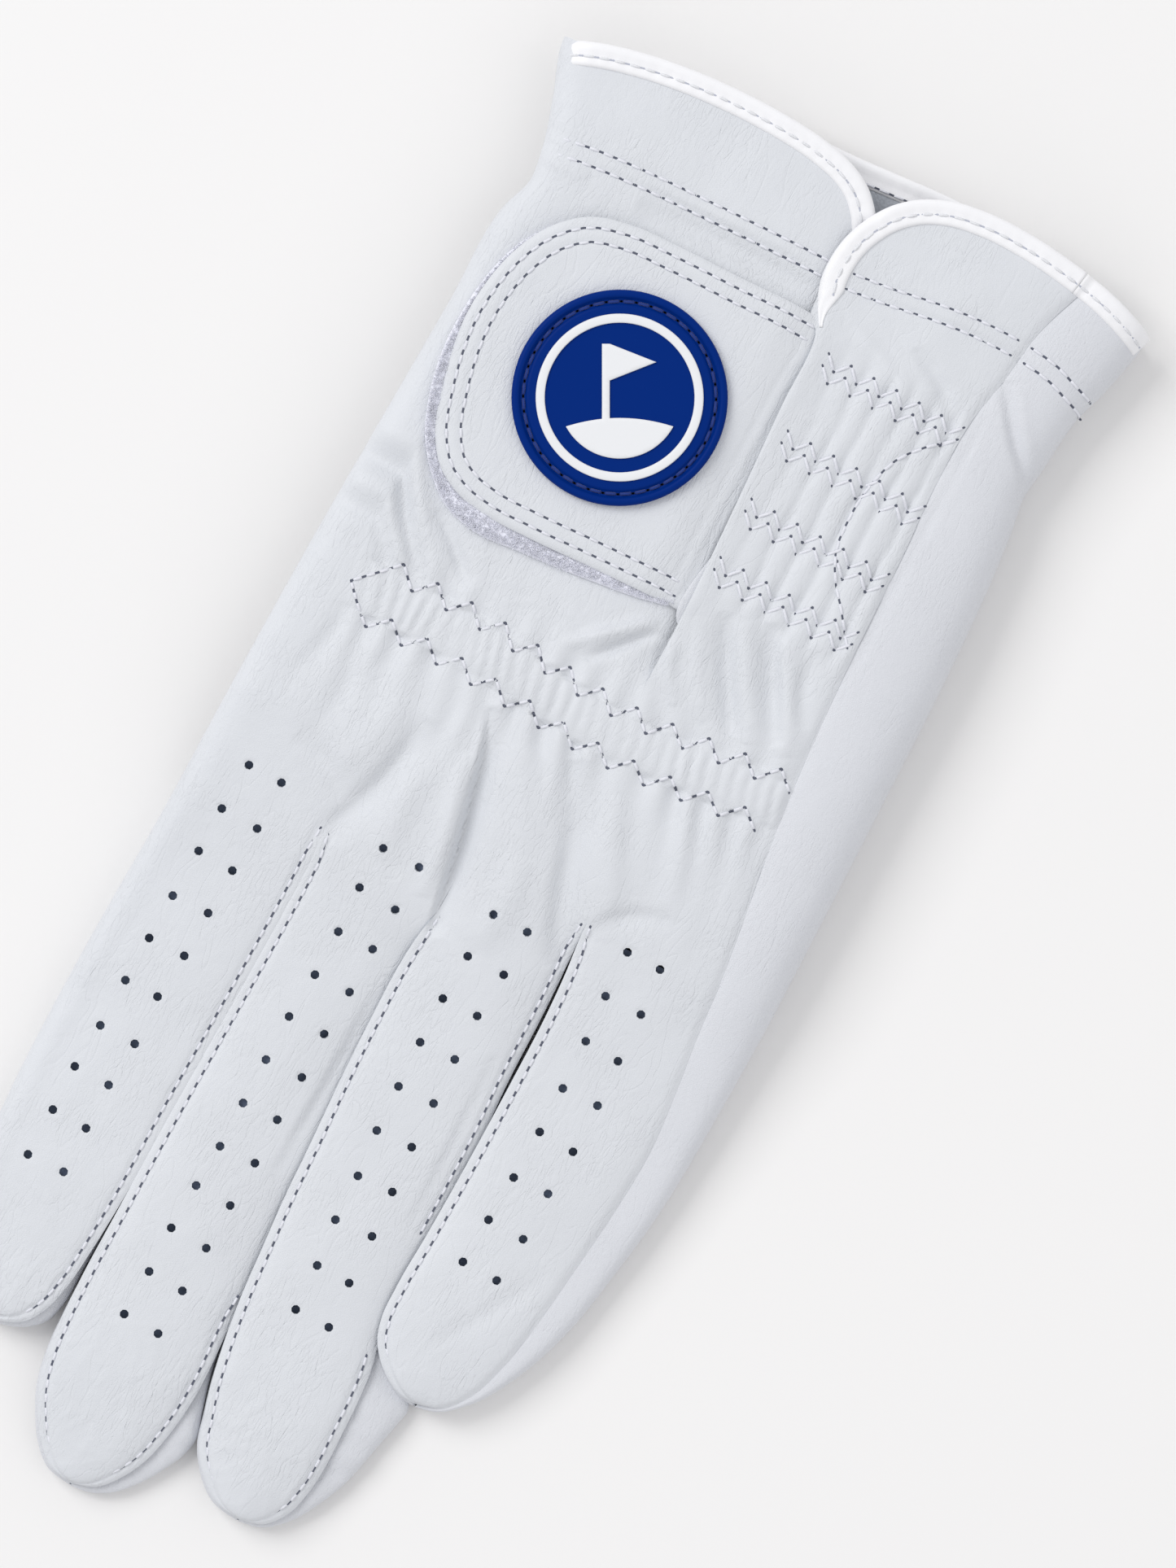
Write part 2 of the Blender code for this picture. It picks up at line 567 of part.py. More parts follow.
def main():
    for old in list(bpy.data.objects):
        bpy.data.objects.remove(old, do_unlink=True)
    make_palm()
    make_back()
    make_cuff()
    make_hand_linings()
    for finger in FINGERS:
        make_finger(*finger)
    make_thumb()
    make_tab(make_flap())


main()
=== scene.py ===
"""Looks for the left-hand golf glove: leather, stitching, puckers, tape, pile and badge around the CAD frame.

The pattern's plan is in millimetres: +X to the index side, +Y to the fingertips, heights above the table.
frame_point() turns it into the frame's metres.
"""
from math import cos, pi, radians, sin

import bmesh
import bpy
import numpy as np
from mathutils import Matrix, Vector
from mathutils.geometry import delaunay_2d_cdt


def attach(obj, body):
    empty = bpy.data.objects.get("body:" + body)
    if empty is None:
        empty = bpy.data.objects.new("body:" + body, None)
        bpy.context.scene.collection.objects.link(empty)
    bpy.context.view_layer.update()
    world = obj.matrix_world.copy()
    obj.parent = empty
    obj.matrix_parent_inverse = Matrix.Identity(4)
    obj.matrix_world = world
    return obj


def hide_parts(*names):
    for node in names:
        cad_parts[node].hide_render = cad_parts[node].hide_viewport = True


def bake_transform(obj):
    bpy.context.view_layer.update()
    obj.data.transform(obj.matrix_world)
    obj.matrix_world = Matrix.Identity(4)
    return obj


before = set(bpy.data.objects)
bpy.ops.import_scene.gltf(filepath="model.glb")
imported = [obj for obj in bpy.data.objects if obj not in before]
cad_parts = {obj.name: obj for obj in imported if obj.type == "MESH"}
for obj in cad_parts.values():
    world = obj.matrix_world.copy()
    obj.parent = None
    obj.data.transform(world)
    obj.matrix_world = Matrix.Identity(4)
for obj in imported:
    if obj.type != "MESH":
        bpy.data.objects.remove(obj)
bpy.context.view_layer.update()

MM = 0.001
CENTRE = np.array([0.45, -0.80, 0.0])       # the frame's origin in the pattern
STEP = 0.5                                  # grid pitch of the fine leather, mm
LEATHER = 0.7                               # leather thickness
ROLL = radians(28.0)                        # how far the glove is turned in the main view
JOIN_Y = 3.5                                # where the finger backs take over from the hand
WRIST_Y = -31.0                             # where flap and index side of the wrist take over
STITCH_IN = 1.35                            # finger seams are sewn this far inside the leather's edge
HOLE_RADIUS = 0.72                          # air holes in the finger backs
SIDE_TURN = 7.0                             # width of the leather's turn round the index edge
ROW_GAP = -2.6                              # from the upper row of cuff stitches to the lower one
NOISE_CELLS = 64                            # the noise repeats after this many cells
NOISE_SHIFT = 400.0                         # keeps the noise's cell numbers above 0
BODIES = {name: name + "_finger" for name in ("little", "ring", "middle", "index")}


def frame_point(p):
    return (np.asarray(p, float) - CENTRE) * MM


# ---- Lines and noise ----
def unit(v, least=1e-12):
    return v / np.maximum(np.linalg.norm(v, axis=-1, keepdims=True), least)


class Line:
    """Smooth line through plan points, read by its share of length from 0 to 1."""

    def __init__(self, points, steps=24):
        p = np.array(points, float)
        q = np.vstack([2 * p[0] - p[1], p, 2 * p[-1] - p[-2]])      # one more point beyond each end
        s = np.linspace(0, 1, steps, endpoint=False)[:, None]
        runs = []
        for a, b, c, d in zip(q, q[1:], q[2:], q[3:]):
            h0, h1, h2 = (np.linalg.norm(k) for k in (b - a, c - b, d - c))
            v0 = ((b - a) / h0 * h1 + (c - b) / h1 * h0) / (h0 + h1) * h1
            v1 = ((c - b) / h1 * h2 + (d - c) / h2 * h1) / (h1 + h2) * h1
            runs.append(b * (1 + 2 * s) * (1 - s) ** 2 + v0 * s * (1 - s) ** 2 + c * s * s * (3 - 2 * s)
                        + v1 * s * s * (s - 1))
        self.xy = np.vstack(runs + [p[-1:]])
        along = np.concatenate([[0], np.cumsum(np.linalg.norm(np.diff(self.xy, axis=0), axis=1))])
        self.length = along[-1]
        self.share = along / self.length

    def at(self, t):
        return np.stack([np.interp(t, self.share, self.xy[:, k]) for k in range(self.xy.shape[1])], -1)

    def normal(self, t):
        """Unit vectors to the right of the line's direction."""
        d = self.at(np.clip(t + 0.004, 0, 1)) - self.at(np.clip(t - 0.004, 0, 1))
        return unit(np.stack([d[..., 1], -d[..., 0]], -1), 1e-9)


def graph(points):
    """Smooth function through (t, value) points, for arrays, level beyond its ends."""
    line = Line(points)

    def value(t):
        return np.interp(t, line.xy[:, 0], line.xy[:, 1])
    return value


def ramp(low, high, at):
    s = np.clip((at - low) / (high - low), 0, 1)
    return s * s * (3 - 2 * s)


def noise(x, y, scale, seed):
    """Seeded gradient noise, about -1 to 1, with features of the given size in mm."""
    turn = np.random.default_rng(seed).uniform(0, 2 * pi, (NOISE_CELLS, NOISE_CELLS))
    x, y = np.asarray(x) / scale + NOISE_SHIFT, np.asarray(y) / scale + NOISE_SHIFT
    i, j = np.floor(x).astype(int), np.floor(y).astype(int)
    fx, fy = x - i, y - j
    total = 0
    for di in (0, 1):
        for dj in (0, 1):
            angle = turn[(i + di) % NOISE_CELLS, (j + dj) % NOISE_CELLS]
            wx = fx if di else 1 - fx
            wy = fy if dj else 1 - fy
            weight = wx * wx * (3 - 2 * wx) * wy * wy * (3 - 2 * wy)
            total = total + weight * (np.cos(angle) * (fx - di) + np.sin(angle) * (fy - dj))
    return total * 1.5


# ---- The pattern: plan lines of the glove ----
SEAM = graph([(-118, -38.0), (-107, -34.4), (-99.6, -33.4), (-92, -31.9), (-80, -31.5), (-69, -32.1),
              (-46, -32.9), (-24, -34.6), (-5.6, -37.1), (3.5, -38.35)])
LITTLE_SIDE = graph([(-118, -50.6), (-111.6, -49.5), (-105, -48.0), (-100, -46.4), (-90, -45.2),
                     (-85, -44.7), (-80, -45.4), (-70, -46.4), (-60, -47.0), (-30, -47.7), (3.5, -48.1)])
INDEX_SIDE = graph([(-118, 51.2), (-113, 51.0), (-105, 48.3), (-97, 46.0), (-92, 45.4), (-87, 47.0),
                    (-70, 47.6), (-50, 48.3), (-30, 49.0), (3.5, 49.7)])
SLIT = graph([(-112, -4.6), (-109, -2.6), (-104, -2.0), (-99, -2.4), (-93, -4.4), (-80, -5.0), (-60, -6.0),
              (-45, -6.6), (-31, -6.6)])
FLAP_END = graph([(-39, -116.9), (-34.8, -117.5), (-27, -118.4), (-19.3, -118.3), (-13, -117.0),
                  (-8.5, -114.6), (-5.2, -111.2), (-3.0, -107.0), (-1.5, -103)])
INDEX_END = graph([(-8, -104), (-3, -109.0), (-0.5, -111.7), (2.3, -114.6), (7.7, -116.2), (15.5, -117.0),
                   (23, -117.0), (31, -116.4), (38.7, -115.2), (46.4, -113.4), (51.5, -111.5)])
SIDE_END = graph([(-51, -114.0), (-46, -115.2), (-39, -116.9), (-34, -117.6)])
PALM_END = graph([(-51, -115.0), (-42, -117.6), (-30, -119.4), (-11.6, -119.9), (3.9, -118.9), (25, -118.2),
                  (51, -113.0)])
FINGERS = {                                  # edges of the back leather, and outlines of the whole stall
    "little": {
        "left": [(-38.35, 3.5), (-39.2, 13), (-40.1, 20), (-41.1, 32), (-40.6, 41.5), (-39.4, 53),
                 (-38.3, 62), (-36.7, 71), (-34.0, 78.2), (-31.3, 81.3), (-27.6, 82.7)],
        "right": [(-15.85, 3.5), (-15.95, 6.5), (-16.6, 13), (-17.0, 20), (-17.1, 32), (-17.0, 46),
                  (-16.7, 58), (-16.3, 68), (-16.5, 73), (-17.4, 76.2), (-19.2, 78.8), (-21.8, 81),
                  (-25.0, 82.5), (-27.6, 82.7)],
        "outer_left": [(-48.1, 3.5), (-47.8, 20), (-46.8, 40), (-45.2, 51), (-43.3, 61), (-39.8, 71),
                       (-34.8, 79.1), (-30.9, 82.3), (-27.4, 83.3)],
        "outer_right": [(-15.85, 3.5), (-16.1, 8), (-16.6, 13), (-16.95, 20), (-17.0, 32), (-16.9, 46),
                        (-16.6, 58), (-16.2, 68), (-16.4, 73.2), (-17.2, 76.6), (-19.1, 79.2),
                        (-21.8, 81.5), (-24.9, 83.0), (-27.4, 83.3)]},
    "ring": {
        "left": [(-15.85, 3.5), (-15.95, 6.5), (-16.3, 13), (-16.55, 20), (-16.7, 32), (-17.1, 40),
                 (-17.2, 48), (-17.1, 58), (-16.9, 66), (-17.2, 72), (-17.9, 76.5), (-18.9, 81),
                 (-19.4, 86), (-19.6, 92), (-19.7, 97), (-19.3, 102.4), (-18.0, 107), (-15.4, 110.1),
                 (-11.6, 111.3)],
        "right": [(5.2, 3.5), (5.15, 8), (5.25, 13.5), (6.1, 18), (6.6, 24), (6.6, 32), (6.3, 44),
                  (5.8, 54), (5.4, 64), (4.8, 72), (4.1, 81), (3.0, 89), (1.8, 95), (0.5, 99.5),
                  (-0.7, 103.5), (-3.4, 107.4), (-6.9, 110.2), (-11.6, 111.3)],
        "outer_left": [(-15.85, 3.5), (-16.1, 10), (-16.4, 20), (-16.6, 32), (-17.1, 42), (-17.4, 56),
                       (-17.5, 66), (-18.6, 72), (-21.3, 77.5), (-24.8, 81.2), (-26.9, 84.2), (-26.4, 87.2),
                       (-25.8, 89.8), (-25.0, 93.4), (-23.7, 98.6), (-21.7, 103.3), (-19.0, 107.8),
                       (-15.6, 110.8), (-11.6, 111.8)],
        "outer_right": [(5.2, 3.5), (5.2, 13.5), (6.1, 20), (6.5, 30), (6.3, 44), (5.8, 54), (5.4, 64),
                        (4.9, 72), (4.3, 81), (3.2, 89), (2.0, 95), (0.8, 99.5), (-0.4, 103.8),
                        (-3.1, 107.9), (-6.7, 110.8), (-11.6, 111.8)]},
    "middle": {
        "left": [(5.2, 3.5), (5.15, 8), (5.25, 13.5), (5.6, 18), (5.8, 24), (5.8, 32), (5.6, 44), (5.2, 54),
                 (4.9, 64), (4.5, 72), (3.9, 80), (3.4, 88), (3.1, 94), (3.3, 100), (4.0, 105),
                 (5.2, 109.8), (7.2, 113.8), (9.9, 117.0), (13.9, 118.6)],
        "right": [(26.5, 3.5), (26.45, 7), (26.4, 9.8), (26.15, 16), (26.15, 24), (26.3, 32), (26.7, 48),
                  (27.0, 60), (27.2, 78), (27.3, 88), (27.1, 96), (26.6, 102), (25.4, 107), (23.4, 111.2),
                  (21.0, 114.8), (18.2, 117.4), (13.9, 118.6)],
        "outer_left": [(5.2, 3.5), (5.2, 13.5), (5.7, 24), (5.6, 44), (5.0, 60), (4.6, 72), (4.1, 81),
                       (3.3, 89), (2.2, 95), (1.0, 99.5), (-0.1, 103.4), (0.4, 106.4), (2.3, 110.3),
                       (4.6, 113.9), (7.7, 117.1), (10.6, 118.6), (13.9, 119.1)],
        "outer_right": [(26.5, 3.5), (26.4, 9.8), (26.25, 20), (26.4, 32), (26.8, 48), (27.1, 60),
                        (27.3, 78), (27.4, 90), (27.3, 96), (26.9, 102.2), (25.8, 107.4), (23.8, 111.7),
                        (21.4, 115.4), (18.5, 118.0), (13.9, 119.1)]},
    "index": {
        "left": [(26.5, 3.5), (26.45, 7), (26.4, 9.8), (26.05, 16), (26.05, 24), (26.2, 32), (26.6, 48),
                 (26.95, 60), (27.35, 78), (27.9, 86), (28.6, 92), (29.9, 96.6), (31.9, 99.6),
                 (34.6, 101.1), (38.0, 101.9)],
        "right": [(42.7, 3.5), (44.3, 12), (45.3, 20), (46.1, 40), (46.4, 55), (46.1, 70), (45.2, 82),
                  (43.7, 91), (41.9, 97.2), (40.1, 100.4), (38.0, 101.9)],
        "outer_left": [(26.5, 3.5), (26.4, 9.8), (26.2, 16), (26.25, 24), (26.4, 32), (26.8, 48),
                       (27.1, 60), (27.4, 78), (27.6, 88), (27.9, 95), (28.9, 98.2), (30.9, 100.2),
                       (34.0, 101.7), (38.0, 102.3)],
        "outer_right": [(49.7, 3.5), (50.0, 20), (50.7, 40), (50.9, 55), (50.6, 70), (49.6, 82), (47.4, 91),
                        (44.2, 98.3), (41.2, 101.4), (38.0, 102.3)]},
}
# where each stall parts from its neighbours: y on its left and on its right
CROTCH = {"little": (-60, 4.0), "ring": (4.0, 13.5), "middle": (13.5, 9.8), "index": (9.8, 200)}
# how far the back sinks to its left and right edges, and over what distance
EDGE_DROP = {"little": (0.0, 0.55), "ring": (1.7, 0.55), "middle": (1.7, 0.5), "index": (0.5, 0.0)}
EDGE_REACH = {"little": (3.0, 1.8), "ring": (2.6, 1.8), "middle": (3.4, 1.6), "index": (1.6, 3.0)}
SEWN = {                                     # where a seam's stitches show, as spans along the finger
    ("little", "right"): [(4.4, 200)],
    ("ring", "left"): [(4.4, 59), (79, 200)], ("ring", "right"): [(13.7, 200)],
    ("middle", "left"): [(80, 200)], ("middle", "right"): [(10.4, 200)],
    ("index", "left"): [(10.4, 200)],
}
HOLE_ROWS = {                                # count, first and last y, and x against y for both columns
    "little": (8, (5.3, 59.8),
               [(5, -29.3), (32, -30.5), (60, -29.5)], [(5, -23.4), (28, -24.5), (60, -23.7)]),
    "ring": (10, (9.9, 78.1), [(10, -8.4), (25, -7.9), (78, -10.1)], [(10, -2.5), (24, -1.9), (78, -4.2)]),
    "middle": (12, (8.8, 91.2), [(9, 11.1), (39, 11.7), (91, 12.5)], [(9, 17.3), (38, 17.6), (91, 18.7)]),
    "index": (10, (7.6, 76.4), [(8, 35.6), (45, 36.9), (77, 37.4)], [(7, 41.4), (45, 42.9), (76, 43.3)]),
}

SPINE = graph([(-121, 13.3), (-105, 13.8), (-90, 14.3), (-20, 14.3), (-4, 13.4), (10, 11.2), (26, 8.8),
               (45, 7.3), (70, 6.9), (100, 6.3), (120, 5.4)])
PALM_LIFT = 6.3
EDGE_Z = 4.4                                 # height of the hand's little-finger edge


def underside(x, y):
    """Height of the palm's outside, which lies on the folded thumb, and on the table at the sides."""
    along = (0.87 + 0.13 * ramp(-116, -92, y)) * (1 - ramp(-6, 24, y))
    return PALM_LIFT * ramp(-45, -31, x) * along + 0.05


# ---- Relief: folds, puckers and wrinkles ----
def fold(x, y, points, height, left, right):
    """Height of a ridge, or valley below 0, along a line: its own reach each side, and none at the ends."""
    line = Line(points, 24)
    p = line.xy
    reach = 3 * max(left, right)
    low, high = p.min(0) - reach, p.max(0) + reach
    near = (x > low[0]) & (x < high[0]) & (y > low[1]) & (y < high[1])
    out = np.zeros_like(x)
    q = np.stack([x[near], y[near]], -1)
    if not len(q):
        return out
    gap = q[:, None, :] - p[None, :, :]
    k = np.argmin((gap ** 2).sum(-1), axis=1)
    n = line.normal(line.share)[k]
    nearest = gap[np.arange(len(q)), k]
    side = (nearest * n).sum(-1)
    away = np.linalg.norm(nearest, axis=-1) * np.sign(side)
    width = np.where(side > 0, right, left)
    t = line.share[k]
    out[near] = height * np.exp(-(away / width) ** 2) * (np.sin(pi * np.clip(t, 0.001, 0.999)) ** 0.6)
    return out


FOLD_GAIN = 1.7                              # every height in the list is multiplied by this
FOLDS = [
    # points, height, reach to the left, reach to the right
    ([(4.7, 17.5), (5.6, 12), (7.0, 4), (8.9, -4.5), (10.4, -11.5), (12.8, -18.0)], -1.5, 0.5, 2.6),
    ([(8.2, 13), (9.2, 5), (11.0, -3), (12.6, -10)], 0.6, 1.6, 1.2),
    ([(-15.2, 13), (-12.5, 7), (-10, 1), (-8, -5), (-5.5, -12), (-3, -17)], -1.1, 2.0, 2.6),
    ([(-19, 6), (-17, -1), (-14, -8), (-11, -15)], 0.5, 2.5, 2.0),
    ([(26.5, 12), (24, 5), (21.5, -3), (20, -12)], -0.8, 1.6, 2.6),
    ([(17, 11), (17.5, 3), (17.5, -6)], 0.35, 2.4, 2.4),
    ([(-2, 16), (-3.5, 8), (-2.5, 0)], 0.4, 2.4, 2.4),
    ([(26.0, 6), (31, 1.5), (37, 0)], -0.35, 1.2, 2.0),
    ([(-16, 6), (-21, 0.5), (-27, -2)], -0.35, 1.2, 2.0),
    ([(30, 4), (27, -4), (25.5, -13)], 0.3, 2.4, 2.4),
    ([(-27, -2), (-24.5, -9), (-22, -17)], 0.3, 1.8, 1.8),
    ([(-2, 8), (-1, 0), (1.5, -8), (4, -16)], 0.3, 2.0, 2.2),
    ([(35, 0), (34, -8), (33, -17)], -0.25, 2.0, 2.0),
    ([(43, -4), (41, -12), (38, -20)], -0.25, 1.6, 2.2),
    ([(29, -31), (35, -38), (41, -47), (45, -58), (46, -68)], 0.75, 1.2, 1.6),
    ([(32, -30), (38.5, -38), (44, -48), (46.8, -60)], -0.6, 0.8, 1.1),
    ([(35, -30.5), (41, -38), (45.8, -48)], 0.55, 1.0, 1.3),
    ([(39, -31), (44, -38.5), (47, -46)], -0.35, 0.8, 1.0),
    ([(24, -32), (29, -36.5), (34, -41)], -0.5, 0.9, 1.3),
    ([(7.5, -31.5), (1.5, -37), (-3.5, -41.5)], 0.6, 1.0, 1.4),
    ([(3.5, -31), (-1, -36), (-4.5, -40)], -0.55, 0.8, 0.9),
    ([(-30.5, -32), (-25.5, -41), (-21, -49)], 0.6, 1.5, 2.4),
    ([(-29, -33), (-24.5, -40.5), (-19.3, -49.5)], -0.8, 1.9, 1.3),
    ([(-25, -31.5), (-20, -39.5), (-15.8, -48)], 0.5, 1.5, 1.8),
    ([(-22, -31), (-17, -39), (-12.3, -47.5)], -0.75, 1.6, 1.2),
    ([(-17, -31), (-12.5, -38), (-9, -45)], 0.3, 1.2, 1.4),
    ([(-12, -31), (-9, -35), (-7.2, -40)], 0.4, 1.0, 1.2),
    ([(-31, -37), (-28, -43), (-27, -49)], -0.4, 1.2, 1.4),
    ([(45, -78), (46, -86), (43.5, -93), (38, -98)], 0.5, 1.0, 1.6),
    ([(47, -83), (46, -90), (41, -96)], -0.5, 0.9, 1.2),
    ([(-30, -88.5), (-26, -93), (-19, -97)], -0.45, 1.4, 1.2),
    ([(-24, -88), (-17, -92), (-9, -95)], 0.3, 1.2, 1.4),
    ([(-3, -97), (7, -97.2), (18, -97), (29, -96.2)], -0.7, 2.0, 2.2),
    ([(-36, 55), (-30, 66), (-25, 74)], -0.18, 1.6, 1.6),
    ([(8.4, 62), (7.9, 45), (7.8, 28)], -0.35, 0.8, 1.6),
    ([(-13.7, 60), (-13.6, 45), (-13.2, 28)], -0.22, 0.8, 1.4),
]
KNUCKLE_ROWS = {
    # line, start x, end x, swing
    "finger": ([(-33, -21.6), (-22, -20.5), (-13, -19.6), (-5, -19.3), (8, -20.1), (20, -21.0),
                (36, -21.1)],
               38.4, -31.9, 1.45),
    "cuff": ([(-35, -29.2), (-20, -27.9), (-9, -26.8), (-3, -26.8), (8, -27.8), (17, -28.8), (36, -29.4)],
             37.6, -34.0, -1.55),
}
WRIST_ROWS = (-52.3, -62.4, -74.2, -87.6)
TOOTH = 1.955                                # from corner to corner of the wrist's zigzags
KNUCKLE_TOOTH = 3.03                         # the same for the knuckles' zigzags
PUCKER_PITCH, WAVE_PITCH = 2.35, 5.4         # puckers between the knuckle rows, and waves beyond them


def gathers(x, y):
    """Puckers behind the knuckles and at the wrist elastics."""
    top, bottom = graph(KNUCKLE_ROWS["finger"][0])(x), graph(KNUCKLE_ROWS["cuff"][0])(x)
    across = (y - bottom) / (top - bottom)
    ends = ramp(-36, -31, x) * (1 - ramp(36, 43, x))
    drift = 1.3 * noise(x, y, 9, 11) + 0.22 * (y + 24)
    fine = np.abs(np.sin(pi * (x + drift) / PUCKER_PITCH)) ** 0.8 - 0.55
    inside = np.clip(1 - (2 * across - 1) ** 4, 0, None) * (across > 0) * (across < 1)
    strength = 0.65 + 0.5 * noise(x, y * 0.4, 6, 12)
    z = 0.62 * fine * inside * strength * ends
    wide = np.sin(2 * pi * (x + 1.5 * noise(x, y, 14, 13) + 0.18 * (y + 24)) / WAVE_PITCH)
    above = np.exp(-np.clip(y - top, 0, None) / 8.0) * (y >= top)
    below = np.exp(-np.clip(bottom - y, 0, None) / 3.6) * (y <= bottom)
    z += 0.68 * wide * (above + below) * ends * (0.7 + 0.6 * noise(x, y, 11, 14))
    drawn_in = np.exp(-((y - top) / 1.6) ** 2) + np.exp(-((y - bottom) / 1.6) ** 2)
    z += (0.35 * inside - 0.16 * drawn_in) * ends
    on_flap = ramp(-36, -32, x) * (1 - ramp(-9, -6.5, x))
    puffs = on_flap * (0.25 + 0.75 * ramp(-8, -17, x))
    between = ramp(-95, -88, y) * (1 - ramp(-52, -44, y))
    near = sum(np.exp(-((y - row) / 3.6) ** 2) for row in WRIST_ROWS)
    crease = np.abs(np.sin(pi * (x + 10.0 + 0.5 * noise(x, y, 7, 20)) / (2 * TOOTH))) ** 0.7 - 0.6
    z += 0.95 * crease * puffs * between * np.clip(0.5 + 0.6 * near, 0, 1)
    for row in WRIST_ROWS:
        z -= 0.24 * np.exp(-((y - row) / 1.9) ** 2) * on_flap
    return z


CUFF_ROWS = {
    "little": [(-47.4, -99.6), (-46.4, -100.0), (-40, -101.9), (-34, -102.7), (-27, -102.7),
               (-19.3, -101.9), (-11.6, -100.6), (-4.4, -99.7)],
    "index": [(-1.6, -99.9), (15.5, -99.4), (31, -98.7), (38.7, -98.0), (44.4, -97.1)],
}
ANCHOR_ROW = [(-31.3, -51.3), (-27.5, -56.3), (-24.7, -59.8), (-22.8, -63.6), (-22.2, -69.0),
              (-22.8, -75.6), (-24.4, -80.3), (-27.1, -83.8), (-30.9, -87.2)]
PLEAT = [(-46.0, -82.5), (-44.2, -86), (-39.4, -91), (-33.3, -98.8)]


def shifted(row, dy):
    return [(a, b + dy) for a, b in row]


def wrinkles(x, y):
    """Soft creasing of worn-in leather, finer and stronger near the fingertips and the wrist."""
    bend = noise(x, y, 9, 31) * 2.2
    ridged = 1 - np.abs(noise(x + bend, y * 0.55, 3.4, 32))
    cross = 1 - np.abs(noise(x * 0.5, y + bend, 3.0, 33))
    tips = ramp(84, 100, y) + 0.8 * ramp(70, 80, y) * (x < -16) + 0.9 * ramp(88, 98, y) * (x > 28)
    wrist = ramp(-40, -34, y) * (1 - ramp(-34, -28, y)) + (1 - ramp(-96, -88, y)) * ramp(-99, -95, y)
    z = 0.05 * (ridged ** 3) * (0.7 + tips) + 0.05 * (cross ** 3) * (0.6 + tips + 1.5 * wrist)
    z += 0.30 * noise(x, y * 0.8, 14, 34) + 0.12 * noise(x, y * 0.7, 6.0, 35)
    return z


def relief(x, y):
    x, y = np.asarray(x, float), np.asarray(y, float)
    z = wrinkles(x, y) + gathers(x, y)
    for points, height, left, right in FOLDS:
        z = z + fold(x, y, points, FOLD_GAIN * height, left, right)
    for row in CUFF_ROWS.values():
        for shift in (0.0, ROW_GAP):
            z = z + fold(x, y, shifted(row, shift), -0.22, 0.55, 0.55)
        z = z + fold(x, y, shifted(row, ROW_GAP / 2), 0.14, 0.6, 0.6)
    z = z + fold(x, y, ANCHOR_ROW, -0.25, 0.7, 0.7)
    return z


# ---- Heights of the top surface ----
def seam_dip(away):
    """The back sinks towards the side seam and into its groove."""
    return 0.9 * np.exp(-away / 5.0) + 0.4 * np.exp(-(away / 0.7) ** 2)


def back_height(x, y):
    """Outside of the back leather on the hand, between the side seam and the index edge's turn."""
    return SPINE(y) + relief(x, y) - seam_dip(np.clip(x - SEAM(y), 0, None))


def side_curve(a, x, y):
    """Side strip's height at share a of the way from the side seam to the little-finger edge."""
    top = SPINE(y) - seam_dip(0.0)
    swell = 0.55 * (1 - np.exp(-a * 5)) * (1 - a)
    return EDGE_Z + (top - EDGE_Z) * (1 - a ** 3) ** (1 / 3) + swell + 0.5 * relief(x, y) * (1 - a ** 4)


def side_height(x, y):
    """Outside of the side strip, between the side seam and the little-finger edge."""
    seam, edge = SEAM(y), LITTLE_SIDE(y)
    z = side_curve(np.clip((seam - x) / (seam - edge), 0, 1), x, y)
    beside = [(a - 1.8, b - 0.6) for a, b in PLEAT]
    return z + fold(x, y, PLEAT, -1.1, 0.8, 2.2) + fold(x, y, beside, 0.6, 1.2, 1.2)


# ---- Meshes ----
def ride_all(pieces, body):
    for piece in pieces:
        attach(piece, body)


def mesh_object(name, points, faces, materials, face_material=None, loop_normals=None, smooth=True):
    mesh = bpy.data.meshes.new(name)
    mesh.from_pydata(frame_point(points).tolist(), [], faces)
    for one in materials:
        mesh.materials.append(one)
    if face_material is not None:
        mesh.polygons.foreach_set("material_index", np.asarray(face_material, np.int32))
    mesh.polygons.foreach_set("use_smooth", np.full(len(mesh.polygons), smooth))
    mesh.update()
    if loop_normals is not None:
        mesh.normals_split_custom_set(loop_normals)
    obj = bpy.data.objects.new(name, mesh)
    bpy.context.scene.collection.objects.link(obj)
    return obj


def grid_normals(p):
    along, across = (np.gradient(p, axis=k, edge_order=2) for k in (0, 1))
    return unit(np.cross(across, along))


def open_edges(faces, count):
    """The edges that only one face uses, as arrays of their first and second points."""
    a, b = faces, np.roll(faces, -1, axis=1)
    alone = ~np.isin((a * count + b).reshape(-1), (b * count + a).reshape(-1))
    return a.reshape(-1)[alone], b.reshape(-1)[alone]


